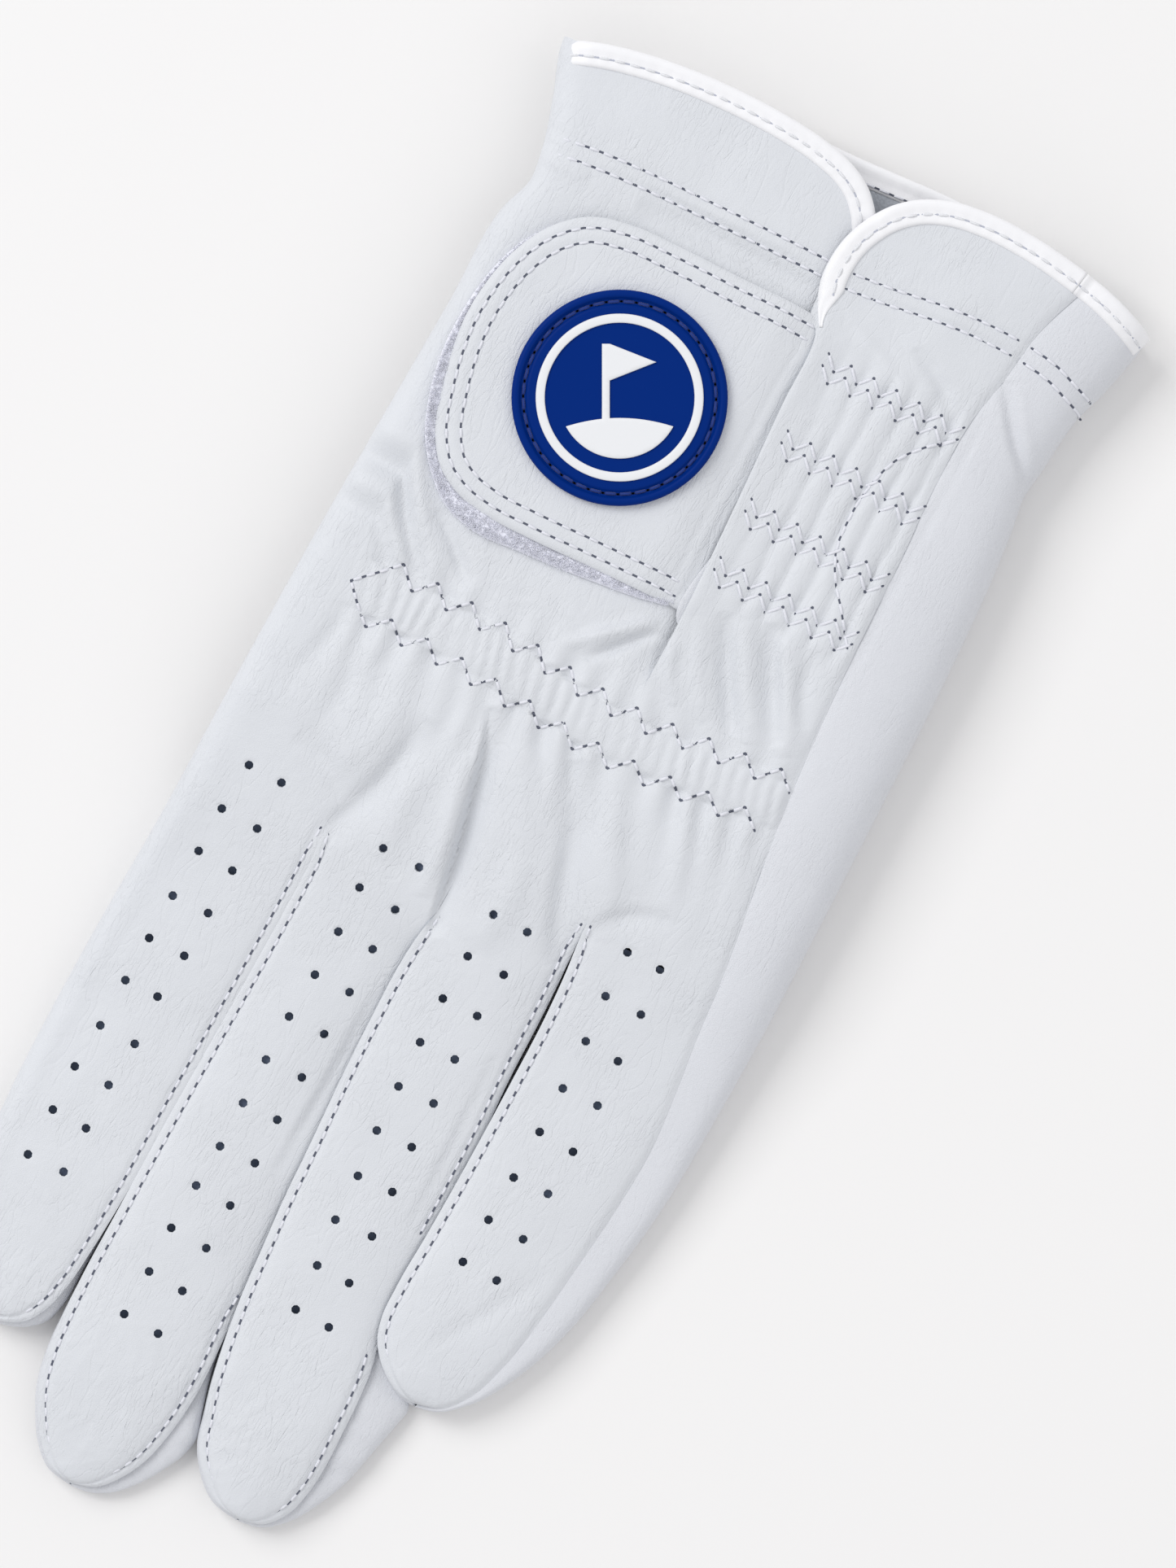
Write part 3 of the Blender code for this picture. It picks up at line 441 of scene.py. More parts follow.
def sheet(name, p, depth, outside, inside, keep=None):
    """Closed sheet from a grid of outside points: outside skin, inside skin and the cut edge between them."""
    n = grid_normals(p)
    rows, cols = p.shape[:2]
    number = np.arange(rows * cols).reshape(rows, cols)
    quads = np.stack([number[:-1, :-1], number[:-1, 1:], number[1:, 1:], number[1:, :-1]], -1).reshape(-1, 4)
    if keep is not None:
        quads = quads[keep.reshape(-1)]
    base = rows * cols
    a, b = open_edges(quads, base)
    rims = np.stack([b, a, a + base, b + base], -1)
    faces = np.concatenate([quads, quads[:, ::-1] + base, rims])
    used, faces = np.unique(faces, return_inverse=True)
    faces = faces.reshape(-1, 4)
    points = np.concatenate([p.reshape(-1, 3), (p - n * depth).reshape(-1, 3)])[used]
    normals = np.concatenate([n.reshape(-1, 3), -n.reshape(-1, 3)])[used]
    loops = normals[faces].copy()
    rim_points = points[faces[2 * len(quads):]]
    flat = np.cross(rim_points[:, 1] - rim_points[:, 0], rim_points[:, 2] - rim_points[:, 1])
    loops[2 * len(quads):] = unit(flat)[:, None, :]
    kinds = np.concatenate([np.zeros(len(quads)), np.ones(len(quads) + len(rims))]).astype(int)
    return mesh_object(name, points, faces.tolist(), [outside, inside], kinds, loops.reshape(-1, 3).tolist())


def lerp(a, b, u):
    """Points across from a to b: rows follow a and b, columns follow u."""
    return a[:, None, :] * (1 - u)[None, :, None] + b[:, None, :] * u[None, :, None]


def turn_down(inner, outer, z_top, z_middle, z_bottom, inset, power, up, down):
    """Columns that turn over an edge: from inner at z_top, out to outer, and back under to inset.

    power is how square the turn is (2 is round); up and down are the counts of columns above and below.
    """
    phi = (np.linspace(0, 1, up + 1)[1:]) ** 1.25 * pi / 2
    out_share, high = np.sin(phi) ** (2 / power), np.cos(phi) ** (2 / power)
    high[-1] = 0.0
    under = np.linspace(0, pi / 2, down + 1)[1:]
    span = outer - inner
    far = np.maximum(np.linalg.norm(span, axis=1), 1e-6)[:, None]
    returned = inset[:, None] * (1 - np.cos(under))[None, :]
    back = outer[:, None, :] - (span / far)[:, None, :] * returned[..., None]
    xy = np.concatenate([inner[:, None, :] + span[:, None, :] * out_share[None, :, None], back], axis=1)
    z = np.concatenate([z_middle[:, None] + (z_top - z_middle)[:, None] * high[None, :],
                        z_middle[:, None] - (z_middle - z_bottom)[:, None] * np.sin(under)[None, :]], axis=1)
    return np.concatenate([xy, z[..., None]], axis=2)


# ---- Materials ----
class Look:
    """A Principled material whose textures are placed by the piece's own coordinates, in metres."""

    def __init__(self, name, colour, roughness, **sockets):
        self.material = bpy.data.materials.new(name)
        self.material.use_nodes = True
        self.nodes, self.link = self.material.node_tree.nodes, self.material.node_tree.links.new
        self.shader = self.nodes["Principled BSDF"].inputs
        self.shader["Base Color"].default_value = (*colour, 1)
        self.shader["Roughness"].default_value = roughness
        for socket, value in sockets.items():
            self.shader[socket.replace("_", " ")].default_value = value

    def add(self, kind, **values):
        """A node with some of its inputs set: to a value, or to another node's output."""
        node = self.nodes.new(kind)
        for key, value in values.items():
            socket = node.inputs[key.replace("_", " ")]
            if isinstance(value, bpy.types.NodeSocket):
                self.link(value, socket)
            else:
                socket.default_value = value
        return node

    def place(self):
        return self.nodes.new("ShaderNodeTexCoord").outputs["Object"]

    def math(self, operation, first, second=None):
        node = self.nodes.new("ShaderNodeMath")
        node.operation = operation
        for socket, value in zip(node.inputs, (first, second)):
            if isinstance(value, bpy.types.NodeSocket):
                self.link(value, socket)
            elif value is not None:
                socket.default_value = value
        return node.outputs["Value"]

    def remap(self, value, low, high):
        return self.add("ShaderNodeMapRange", From_Min=low, From_Max=high, Value=value).outputs["Result"]

    def bump(self, height, strength, distance, before=None):
        node = self.add("ShaderNodeBump", Strength=strength, Distance=distance, Height=height)
        if before:
            self.link(before, node.inputs["Normal"])
        return node.outputs["Normal"]

    def tone(self, colour, other, factor):
        """Base colour between two colours."""
        mix = self.nodes.new("ShaderNodeMix")
        mix.data_type = "RGBA"
        mix.inputs[6].default_value = (*colour, 1)
        mix.inputs[7].default_value = (*other, 1)
        self.link(factor, mix.inputs["Factor"])
        self.link(mix.outputs[2], self.shader["Base Color"])

    def gloss(self, low, high, value):
        rough = self.add("ShaderNodeMapRange", To_Min=low, To_Max=high, Value=value)
        self.link(rough.outputs["Result"], self.shader["Roughness"])


def plain(name, colour, roughness=0.9):
    return Look(name, colour, roughness).material


def hairlines(look, place, stretched, scale, width, mask_scale, low, high):
    """Long wandering valleys, broken up by a mask."""
    field = look.add("ShaderNodeTexNoise", Scale=scale, Detail=1.5, Roughness=0.5, Distortion=0.5,
                     Vector=stretched)
    away = look.math("ABSOLUTE", look.math("SUBTRACT", field.outputs["Fac"], 0.5))
    mask = look.add("ShaderNodeTexNoise", Scale=mask_scale, Detail=1.0, Vector=place)
    return look.math("MAXIMUM", look.remap(away, 0.0, width), look.remap(mask.outputs["Fac"], low, high))


def leather(name, colour, roughness=0.46, grain=1.0, creases=1.0, tint=0.03):
    """Fine glove leather: pores and pebbles, broken hairline creases and a faint drift of colour."""
    look = Look(name, colour, roughness, Specular_IOR_Level=0.35, Sheen_Weight=0.05)
    place = look.place()
    stretched = look.nodes.new("ShaderNodeMapping")
    stretched.inputs["Scale"].default_value = (1.0, 0.28, 1.0)
    look.link(place, stretched.inputs["Vector"])
    stretched = stretched.outputs["Vector"]
    pebbles = look.add("ShaderNodeTexVoronoi", Scale=3300.0, Randomness=1.0, Vector=place)
    pebbles.feature = "DISTANCE_TO_EDGE"
    normal = look.bump(look.remap(pebbles.outputs["Distance"], 0.0, 0.3), 0.45 * grain, 0.00004)
    pores = look.add("ShaderNodeTexNoise", Scale=1500.0, Detail=4.0, Roughness=0.6, Vector=place)
    fine = pores.outputs["Fac"]
    normal = look.bump(fine, 0.5 * grain, 0.00009, normal)
    lines = hairlines(look, place, stretched, 330.0, 0.03, 110.0, 0.46, 0.62)
    normal = look.bump(lines, 0.42 * creases, 0.0001, normal)
    lines = hairlines(look, place, stretched, 1100.0, 0.07, 90.0, 0.40, 0.60)
    normal = look.bump(lines, 0.5 * creases, 0.00009, normal)
    crinkle = look.add("ShaderNodeTexNoise", Scale=1300.0, Detail=3.0, Roughness=0.65, Vector=stretched)
    patches = look.add("ShaderNodeTexNoise", Scale=70.0, Detail=2.0, Vector=place)
    crinkled = look.math("MULTIPLY", crinkle.outputs["Fac"], look.remap(patches.outputs["Fac"], 0.44, 0.66))
    normal = look.bump(crinkled, 0.3 * creases, 0.00022, normal)
    look.link(normal, look.shader["Normal"])
    drift = look.add("ShaderNodeTexNoise", Scale=45.0, Detail=3.0, Roughness=0.6, Vector=place)
    darker, lighter = [c * (1 - tint) for c in colour], [min(c * (1 + tint), 1) for c in colour]
    look.tone(darker, lighter, drift.outputs["Fac"])
    look.gloss(roughness - 0.06, roughness + 0.08, fine)
    return look.material


def cloth(name, colour, scale, strength, roughness=0.85, distance=0.0002, sheen=0.2):
    """Woven or brushed textile."""
    look = Look(name, colour, roughness, Sheen_Weight=sheen, Specular_IOR_Level=0.25)
    weave = look.add("ShaderNodeTexVoronoi", Scale=scale, Vector=look.place()).outputs["Distance"]
    look.link(look.bump(weave, strength, distance), look.shader["Normal"])
    look.tone(colour, [c * 0.86 for c in colour], weave)
    return look.material


def rubber(name, colour, shine=0.22):
    look = Look(name, colour, 0.42, Specular_IOR_Level=shine)
    mottle = look.add("ShaderNodeTexNoise", Scale=1500.0, Detail=3.0, Vector=look.place()).outputs["Fac"]
    look.link(look.bump(mottle, 0.25, 0.00005), look.shader["Normal"])
    look.gloss(0.36, 0.5, mottle)
    return look.material


def thread(name, colour):
    return cloth(name, colour, 5200.0, 0.5, 0.6, 0.00006)


WHITE = leather("back_leather", (0.70, 0.720, 0.755))
PALM = leather("palm_side_leather", (0.705, 0.720, 0.760), grain=1.4, creases=0.7)
# Inside of the leather and its cut edges: greyish like the suede, but darker than its own off-white as
# painted shade inside the glove
FLESH_WITH_PAINTED_SHADE = cloth("flesh_side_with_painted_shade", (0.50, 0.53, 0.58), 2200.0, 0.5, 0.9)
# Dark slate sheet seen through the air holes: painted shade of the glove's inside
PAINTED_SHADE_BEHIND_HOLES = plain("painted_shade_behind_holes", (0.20, 0.25, 0.36))
TAPE = leather("binding_tape", (0.90, 0.90, 0.92), 0.45, grain=0.4, creases=0.15, tint=0.01)
THREAD = thread("thread", (0.84, 0.85, 0.91))
# Dark colour of the needle holes' cups: painted shade in the holes
NEEDLE_PIT_SHADE = plain("needle_pit_painted_shade", (0.10, 0.11, 0.15))
BLUE_THREAD = thread("blue_thread", (0.01, 0.035, 0.22))
BLUE = rubber("blue_rubber", (0.0, 0.022, 0.19), 0.05)
WHITE_RUBBER = rubber("white_rubber", (0.82, 0.83, 0.85))
PILE = cloth("loop_pile", (0.90, 0.91, 1.0), 2300.0, 0.6, 0.95, 0.00015, 0.3)
HOOKS = cloth("hook_tape", (0.70, 0.70, 0.74), 900.0, 1.0, 0.7, 0.0004)
ELASTIC = cloth("elastic", (0.72, 0.72, 0.75), 1300.0, 0.8, 0.85)
WHITE_THREAD = thread("white_thread", (0.85, 0.86, 0.89))
# Needle holes in the white tape and in the blue badge: painted shade, lighter on the tape
FAINT_NEEDLE_PIT_SHADE = plain("faint_pit_painted_shade", (0.48, 0.50, 0.58))
BLUE_NEEDLE_PIT_SHADE = plain("blue_pit_painted_shade", (0.001, 0.004, 0.03))


# ---- Stitches ----
class Threads:
    """Collects the stitches and needle holes that ride together, for one mesh of each."""

    def __init__(self):
        self.groups = []

    def row(self, path, height, pitch=2.35, fill=0.74, radius=0.24):
        """Stitches along a plan line that lies on a height function."""
        path = [np.asarray(p, float) for p in path]
        line = Line(path) if len(path) > 2 else Line([path[0], (path[0] + path[1]) / 2, path[1]])
        count = max(int(round(line.length / pitch)), 1)
        k = np.arange(count)
        start, end = line.at((k + 0.5 - fill / 2) / count), line.at((k + 0.5 + fill / 2) / count)
        self.groups.append((start, end, radius, height))

    def legs(self, corners, height, fill=0.86):
        """One stitch from each corner to the next."""
        a, b = np.array(corners[:-1]), np.array(corners[1:])
        cut = (1 - fill) / 2
        self.groups.append((a + (b - a) * cut, b - (b - a) * cut, 0.24, height))

    def make(self, name, thread=THREAD, pit_shade=NEEDLE_PIT_SHADE, pit_radius=0.34):
        """Two meshes: the stitches, six-sided tubes whose ends dive in, and the cups of the needle holes,
        coloured dark as painted shade.
        """
        shares = np.array([-0.04, 0.10, 0.35, 0.65, 0.90, 1.04])
        lifts = np.array([-0.30, 0.02, 0.13, 0.13, 0.02, -0.30])
        girth = np.array([0.75, 1.0, 1.0, 1.0, 1.0, 0.75])
        sides, rings = 6, len(shares)
        turn = np.arange(sides) * 2 * pi / sides
        tube = [[low + (i + 1) % sides, low + i, low + sides + i, low + sides + (i + 1) % sides]
                for low in range(0, sides * (rings - 1), sides) for i in range(sides)]
        caps = [list(range(sides)), list(range(sides * rings - 1, sides * (rings - 1) - 1, -1))]
        cup = [list(range(sides))] + [[(i + 1) % sides, i, sides] for i in range(sides)]
        points, pits = [], []
        for start, end, radius, height in self.groups:
            along = unit(end - start)
            across = np.stack([along[:, 1], -along[:, 0]], -1)
            xy = start[:, None] + (end - start)[:, None] * shares[None, :, None]
            z = height(xy[..., 0], xy[..., 1]) + lifts
            side = radius * girth[:, None] * np.cos(turn)
            up = radius * 0.8 * girth[:, None] * np.sin(turn)
            body = np.concatenate([xy[:, :, None] + across[:, None, None] * side[None, :, :, None],
                                   (z[:, :, None] + up)[..., None]], axis=3)
            points.append(body.reshape(-1, 3))
            spots = np.concatenate([start - along * 0.14, end + along * 0.14])
            way, flank = np.tile(along, (2, 1))[:, None], np.tile(across, (2, 1))[:, None]
            oval = np.cos(turn)[:, None] * way + 0.62 * np.sin(turn)[:, None] * flank
            ring = spots[:, None] + pit_radius * oval
            rim = height(ring[..., 0], ring[..., 1]) + 0.03
            centre = np.concatenate([spots, rim.mean(1)[:, None] - 0.28], axis=1)
            pits.append(np.concatenate([np.concatenate([ring, rim[..., None]], 2), centre[:, None]],
                                       axis=1).reshape(-1, 3))
        points, pits = np.concatenate(points), np.concatenate(pits)
        return [mesh_object(name, points, copies(tube + caps, len(points), sides * rings), [thread]),
                mesh_object(name + "_holes", pits, copies(cup, len(pits), sides + 1), [pit_shade], smooth=False)]


def copies(faces, count, size):
    """The faces of one small body, repeated for each of the bodies that share the points."""
    return [[first + i for i in face] for first in range(0, count, size) for face in faces]


def zigzag(row, start, end, swing, step):
    """Corners of a zigzag about the plan line y = row(x)."""
    count = int(round(abs(end - start) / step))
    places = np.linspace(start, end, count + 1)
    return [np.array([x, row(x) - swing * (-1) ** k]) for k, x in enumerate(places)]


# ---- Pads, sweeps and turned pieces ----
def offset_loop(outline, inset):
    """A closed outline, moved inwards (it runs counter-clockwise)."""
    d = unit(np.roll(outline, -1, axis=0) - np.roll(outline, 1, axis=0))
    return outline + np.stack([-d[:, 1], d[:, 0]], -1) * inset


def closed_outline(points, pitch):
    """Evenly spaced counter-clockwise points along a closed smooth outline."""
    line = Line(list(points) + [points[0]], 16)
    share = np.linspace(0, 1, int(line.length / pitch), endpoint=False)
    loop = line.at(share)
    x, y = loop[:, 0], loop[:, 1]
    area = (x * np.roll(y, -1) - np.roll(x, -1) * y).sum()
    return loop if area > 0 else loop[::-1]


def inside_loop(points, loop):
    x, y = points[:, 0][:, None], points[:, 1][:, None]
    x0, y0 = loop[:, 0][None], loop[:, 1][None]
    x1, y1 = np.roll(loop, -1, axis=0)[:, 0][None], np.roll(loop, -1, axis=0)[:, 1][None]
    crosses = ((y0 > y) != (y1 > y)) & (x < (x1 - x0) * (y - y0) / np.where(y1 == y0, 1e-9, y1 - y0) + x0)
    return crosses.sum(1) % 2 == 1


def pad(name, loop, top, bottom, material, insets=(0.12, 0.35, 0.7), pitch=0.8):
    """Closed flat piece over a plan outline; top and bottom are heights from (x, y, distance to the edge)."""
    rings = [loop] + [offset_loop(loop, d) for d in insets]
    low, high = loop.min(0), loop.max(0)
    grid = np.stack(np.meshgrid(np.arange(low[0], high[0], pitch), np.arange(low[1], high[1], pitch)), -1)
    grid = grid.reshape(-1, 2)
    inner = offset_loop(loop, insets[-1] + pitch * 0.55)
    grid = grid[inside_loop(grid, inner)]
    plan = np.concatenate(rings + [grid])
    count = len(loop)
    edges = [(i, (i + 1) % count) for i in range(count)]
    done = delaunay_2d_cdt([Vector(p) for p in plan], edges, [], 1, 1e-5)
    flat, triangles = np.array([tuple(p) for p in done[0]]), np.array(done[2])
    gap = np.min([np.linalg.norm(flat - p, axis=1) for p in closed_dense(loop)], axis=0)
    p_top = np.concatenate([flat, top(flat[:, 0], flat[:, 1], gap)[:, None]], 1)
    p_low = np.concatenate([flat, bottom(flat[:, 0], flat[:, 1], gap)[:, None]], 1)
    total = len(flat)
    a, b = open_edges(triangles, total)
    faces = triangles.tolist() + (triangles[:, ::-1] + total).tolist()
    faces += np.stack([b, a, a + total, b + total], -1).tolist()
    return mesh_object(name, np.concatenate([p_top, p_low]), faces, [material])


def closed_dense(loop):
    """The outline's own points and the points half-way between them."""
    return np.concatenate([loop, (loop + np.roll(loop, -1, axis=0)) / 2])


def sweep(name, path, height, waves, taper=0.0):
    """Tape folded over an edge: its closed section of (distance in, height) is carried along a plan line."""
    line = Line(path)
    share = np.linspace(0, 1, int(line.length / 0.45))
    centre, side = line.at(share), -line.normal(share)
    section = np.array(TAPE_SECTION)
    narrow = 1 - taper * ramp(0.88, 1.0, share)[:, None]
    d, h = section[:, 0] * narrow, section[:, 1] * (1 - 0.8 * (1 - narrow))
    xy = centre[:, None] + side[:, None] * d[..., None]
    along = share * line.length
    beat = 0.5 - 0.5 * np.cos(2 * pi * along / TAPE_PITCH)
    sink = waves * beat[:, None] * np.exp(-((d - TAPE_ROW) / 0.75) ** 2) * (h > 0)
    z = height(xy[..., 0], xy[..., 1]) + h - sink + 0.04 * noise(along, along * 0, 4.0, 61)[:, None]
    p = np.concatenate([xy, z[..., None]], axis=2)
    rows, cols = p.shape[:2]
    number = np.arange(rows * cols).reshape(rows, cols)
    turned = np.roll(number, -1, axis=1)
    faces = np.stack([number[:-1], turned[:-1], turned[1:], number[1:]], -1).reshape(-1, 4)
    ends = [number[0][::-1].tolist(), number[-1].tolist()]
    obj = mesh_object(name, p.reshape(-1, 3), faces.tolist() + ends, [TAPE])
    outward(obj)
    return obj


def outward(obj):
    """Turns a closed mesh's faces outwards."""
    mesh = bmesh.new()
    mesh.from_mesh(obj.data)
    if mesh.calc_volume(signed=True) < 0:
        bmesh.ops.reverse_faces(mesh, faces=mesh.faces)
    mesh.to_mesh(obj.data)
    mesh.free()


def turned_piece(name, centre, section, material):
    """Piece turned about a vertical line from (radius, height) points: a ring, or a disc that starts at 0."""
    around = 128
    angle = np.linspace(0, 2 * pi, around, endpoint=False)
    section = np.array(section, float)
    closed = section[0][0] > 0.01
    body = section if closed else section[1:-1]
    r, z = body[:, 0], body[:, 1]
    p = np.stack([centre[0] + r[None] * np.cos(angle)[:, None], centre[1] + r[None] * np.sin(angle)[:, None],
                  np.repeat(z[None], around, 0)], -1)
    cols = len(body)
    number = np.arange(around * cols).reshape(around, cols)
    after = np.roll(number, -1, axis=0)
    if closed:
        corners = [number, after, np.roll(after, -1, 1), np.roll(number, -1, 1)]
        points = p.reshape(-1, 3)
    else:
        corners = [number[:, :-1], after[:, :-1], after[:, 1:], number[:, 1:]]
        points = np.concatenate([p.reshape(-1, 3), [(*centre, section[0][1]), (*centre, section[-1][1])]])
    faces = np.stack(corners, -1).reshape(-1, 4).tolist()
    if not closed:
        bottom, top = around * cols, around * cols + 1
        faces += [[after[i, 0], number[i, 0], bottom] for i in range(around)]
        faces += [[number[i, -1], after[i, -1], top] for i in range(around)]
    obj = mesh_object(name, points, [[int(i) for i in face] for face in faces], [material])
    outward(obj)
    return obj


# ---- Finger stalls ----
def finger_height(name, x, y, from_left, from_right, from_tip):
    """Height of a finger's back leather, from the distances to its edges."""
    left, right = CROTCH[name]
    (drop_l, drop_r), (reach_l, reach_r) = EDGE_DROP[name], EDGE_REACH[name]
    grown = 1 + 0.9 * ramp(60, 92, y)
    drop_l = np.minimum(drop_l * grown, 1.9) * ramp(left - 1, left + 9, y)
    drop_r = np.minimum(drop_r * grown, 1.9) * ramp(right - 1, right + 9, y)
    falls = [drop_l * np.exp(-from_left / reach_l), drop_r * np.exp(-from_right / reach_r)]
    falls.append((2.0 if name != "index" else 2.2) * np.exp(-from_tip / 2.8))
    z = SPINE(y) + relief(x, y) - sum(f ** 3 for f in falls) ** (1 / 3)
    if name == "little":
        z -= seam_dip(from_left)
    for side, away in (("left", from_left), ("right", from_right)):
        for low, high in SEWN.get((name, side), ()):
            z -= 0.28 * ramp(low - 1, low + 2, y) * (y < high) * np.exp(-((away - STITCH_IN) / 0.42) ** 2)
    crown = np.minimum(from_left, from_right)
    return z + 0.45 * ramp(20, 40, y) * (1 - np.exp(-crown / 5))


class Stall:
    """One finger stall: its plan lines, its rows and its skins."""

    def __init__(self, name):
        self.name, self.body = name, BODIES[name]
        lines = FINGERS[name]
        self.left, self.right = Line(lines["left"]), Line(lines["right"])
        self.out_left, self.out_right = Line(lines["outer_left"]), Line(lines["outer_right"])
        self.length = (self.left.length + self.right.length) / 2
        self.t = np.linspace(0, 1, int(self.length / STEP))
        self.t[-1] = 0.9985
        l, r = self.left.at(self.t), self.right.at(self.t)
        self.width = np.linalg.norm(r - l, axis=1)
        self.u = np.linspace(0, 1, int(self.width.max() / STEP) + 1)
        self.plan = lerp(l, r, self.u)

    def top(self):
        """The back leather's outside, as a grid."""
        from_left = self.u[None, :] * self.width[:, None]
        from_right = (1 - self.u[None, :]) * self.width[:, None]
        from_tip = (1 - self.t[:, None]) * self.length + 0 * self.u[None, :]
        z = finger_height(self.name, self.plan[..., 0], self.plan[..., 1], from_left, from_right, from_tip)
        return np.concatenate([self.plan, z[..., None]], axis=2)

    def punch(self, p):
        """Opens the round air holes: returns which faces stay."""
        keep = np.ones((p.shape[0] - 1, p.shape[1] - 1), bool)
        count, (first, last), left, right = HOLE_ROWS[self.name]
        for column in (left, right):
            line = graph(column)
            for y in np.linspace(first, last, count):
                spot = np.array([line(y), y])
                r, c = np.unravel_index(np.argmin(((p[..., :2] - spot) ** 2).sum(-1)), p.shape[:2])
                centre = p[r, c].copy()
                keep[r - 1:r + 1, c - 1:c + 1] = False
                around = [(r + i, c + j) for i in (-1, 0, 1) for j in (-1, 0, 1) if i or j]
                for spot in around:
                    way = p[spot][:2] - centre[:2]
                    p[spot][:2] = centre[:2] + way / np.linalg.norm(way) * HOLE_RADIUS
                    p[spot][2] = centre[2] - 0.10
        return keep


def make_back(stall):
    p = stall.top()
    keep = stall.punch(p)
    if stall.name == "index":
        inner, outer = stall.right.at(stall.t), stall.out_right.at(stall.t)
        z_top = p[:, -1, 2]
        low = underside(outer[:, 0], outer[:, 1]) + 0.1
        middle = low + (z_top - low) * 0.48
        inset = np.minimum(3.5, 0.45 * np.linalg.norm(outer - inner, axis=1) + 0.05)
        edge = turn_down(inner, outer, z_top, middle, low, inset, 3.0, 16, 8)
        p = np.concatenate([p, edge], axis=1)
        keep = np.concatenate([keep, np.ones((keep.shape[0], edge.shape[1]), bool)], axis=1)
    piece = sheet(stall.name + "_back", p, LEATHER, WHITE, FLESH_WITH_PAINTED_SHADE, keep)
    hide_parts(stall.name + "_finger_back")
    return piece


def side_strip(stall, side):
    """Fourchette between back and palm leather, standing out below the back's edge."""
    on_left = side == "left"
    rim, outline = (stall.left, stall.out_left) if on_left else (stall.right, stall.out_right)
    edge_z = stall.top()[:, 0 if on_left else -1, 2]
    edge, outer = rim.at(stall.t), outline.at(stall.t)
    reach = np.linalg.norm(outer - edge, axis=1)[:, None]
    inward = rim.normal(stall.t) * (1 if on_left else -1)
    inner = edge + inward * np.minimum(1.3, stall.width * 0.3)[:, None]
    low = underside(outer[:, 0], outer[:, 1]) + 0.75
    z_top = edge_z - LEATHER - 0.12
    middle = low + (z_top - low) * np.clip(0.62 - 0.045 * reach[:, 0], 0.3, 0.62)
    inset = np.minimum(1.6, stall.width * 0.3)
    edge_columns = turn_down(inner, outer, z_top, middle, low, inset, 2.3, 12, 6)
    grid = np.concatenate([np.concatenate([inner, z_top[:, None]], 1)[:, None, :], edge_columns], axis=1)
    grid[..., 2] += 0.25 * noise(grid[..., 1], grid[..., 2] * 2, 3.0, 71) * np.clip(reach / 4, 0, 1)
    if on_left:
        grid = grid[:, ::-1]
    keep = np.ones((grid.shape[0] - 1, grid.shape[1] - 1), bool)
    keep[stall.t[:-1] * stall.length < CROTCH[stall.name][0 if on_left else 1] - JOIN_Y] = False
    name = stall.name + ("_fourchette_little_side" if on_left else "_fourchette_index_side")
    piece = sheet(name + "_skin", grid, 0.5, PALM, FLESH_WITH_PAINTED_SHADE, keep)
    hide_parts(name)
    return piece


def make_palm_side(stall):
    """Palm leather of a stall; on the little finger it also turns up over the outer side to the seam."""
    outer_l, outer_r = stall.out_left.at(stall.t), stall.out_right.at(stall.t)
    width = np.linalg.norm(outer_r - outer_l, axis=1)
    across = (outer_r - outer_l) / width[:, None]
    is_little, is_index = stall.name == "little", stall.name == "index"
    inset_l = inset_r = np.minimum(0.9, width * 0.2)
    if is_index:
        inset_r = np.minimum(4.2, width * 0.35)
    if is_little:
        inset_l = np.minimum(2.6, width * 0.3)
    left, right = outer_l + across * inset_l[:, None], outer_r - across * inset_r[:, None]
    u = np.linspace(1, 0, 22)
    plan = lerp(left, right, u)
    dl, dr = (u[None, :] * width[:, None], (1 - u)[None, :] * width[:, None])
    z = underside(plan[..., 0], plan[..., 1]) + 0.06
    z = z + 0.45 * np.exp(-dr / 1.4) * (not is_index) + 0.45 * np.exp(-dl / 1.4) * (not is_little)
    z = z + np.clip(0.10 * noise(plan[..., 0], plan[..., 1], 5, 81), 0, None)
    grid = np.concatenate([plan, z[..., None]], axis=2)
    if is_little:
        seam = stall.left.at(stall.t)
        top = stall.top()[:, 0, 2] - 0.03
        low = z[:, -1]
        own = ramp(JOIN_Y, JOIN_Y + 14, seam[:, 1])
        middle = EDGE_Z + (low + (top - low) * 0.4 - EDGE_Z) * own
        side = turn_down(seam, outer_l, top, middle, low, inset_l, 2.8, 18, 8)
        swell = np.linspace(0, 1, side.shape[1])
        side[..., 2] += 0.35 * np.sin(pi * swell[None, :]) ** 2 * own[:, None]
        turn = side[:, :18]
        gone = np.linalg.norm(turn[..., :2] - seam[:, None], axis=2)
        share = np.clip(gone / np.linalg.norm(outer_l - seam, axis=1)[:, None], 0, 1)
        of_hand = side_curve(share, turn[..., 0], turn[..., 1])
        turn[..., 2] = of_hand + (turn[..., 2] - of_hand) * own[:, None]
        side = side[:, ::-1][:, 1:]
        grid = np.concatenate([grid, side, np.concatenate([seam, top[:, None]], 1)[:, None, :]], axis=1)
    piece = sheet(stall.name + "_palm", grid, LEATHER * 0.8, PALM, FLESH_WITH_PAINTED_SHADE)
    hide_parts(stall.name + "_finger_palm")
    return piece


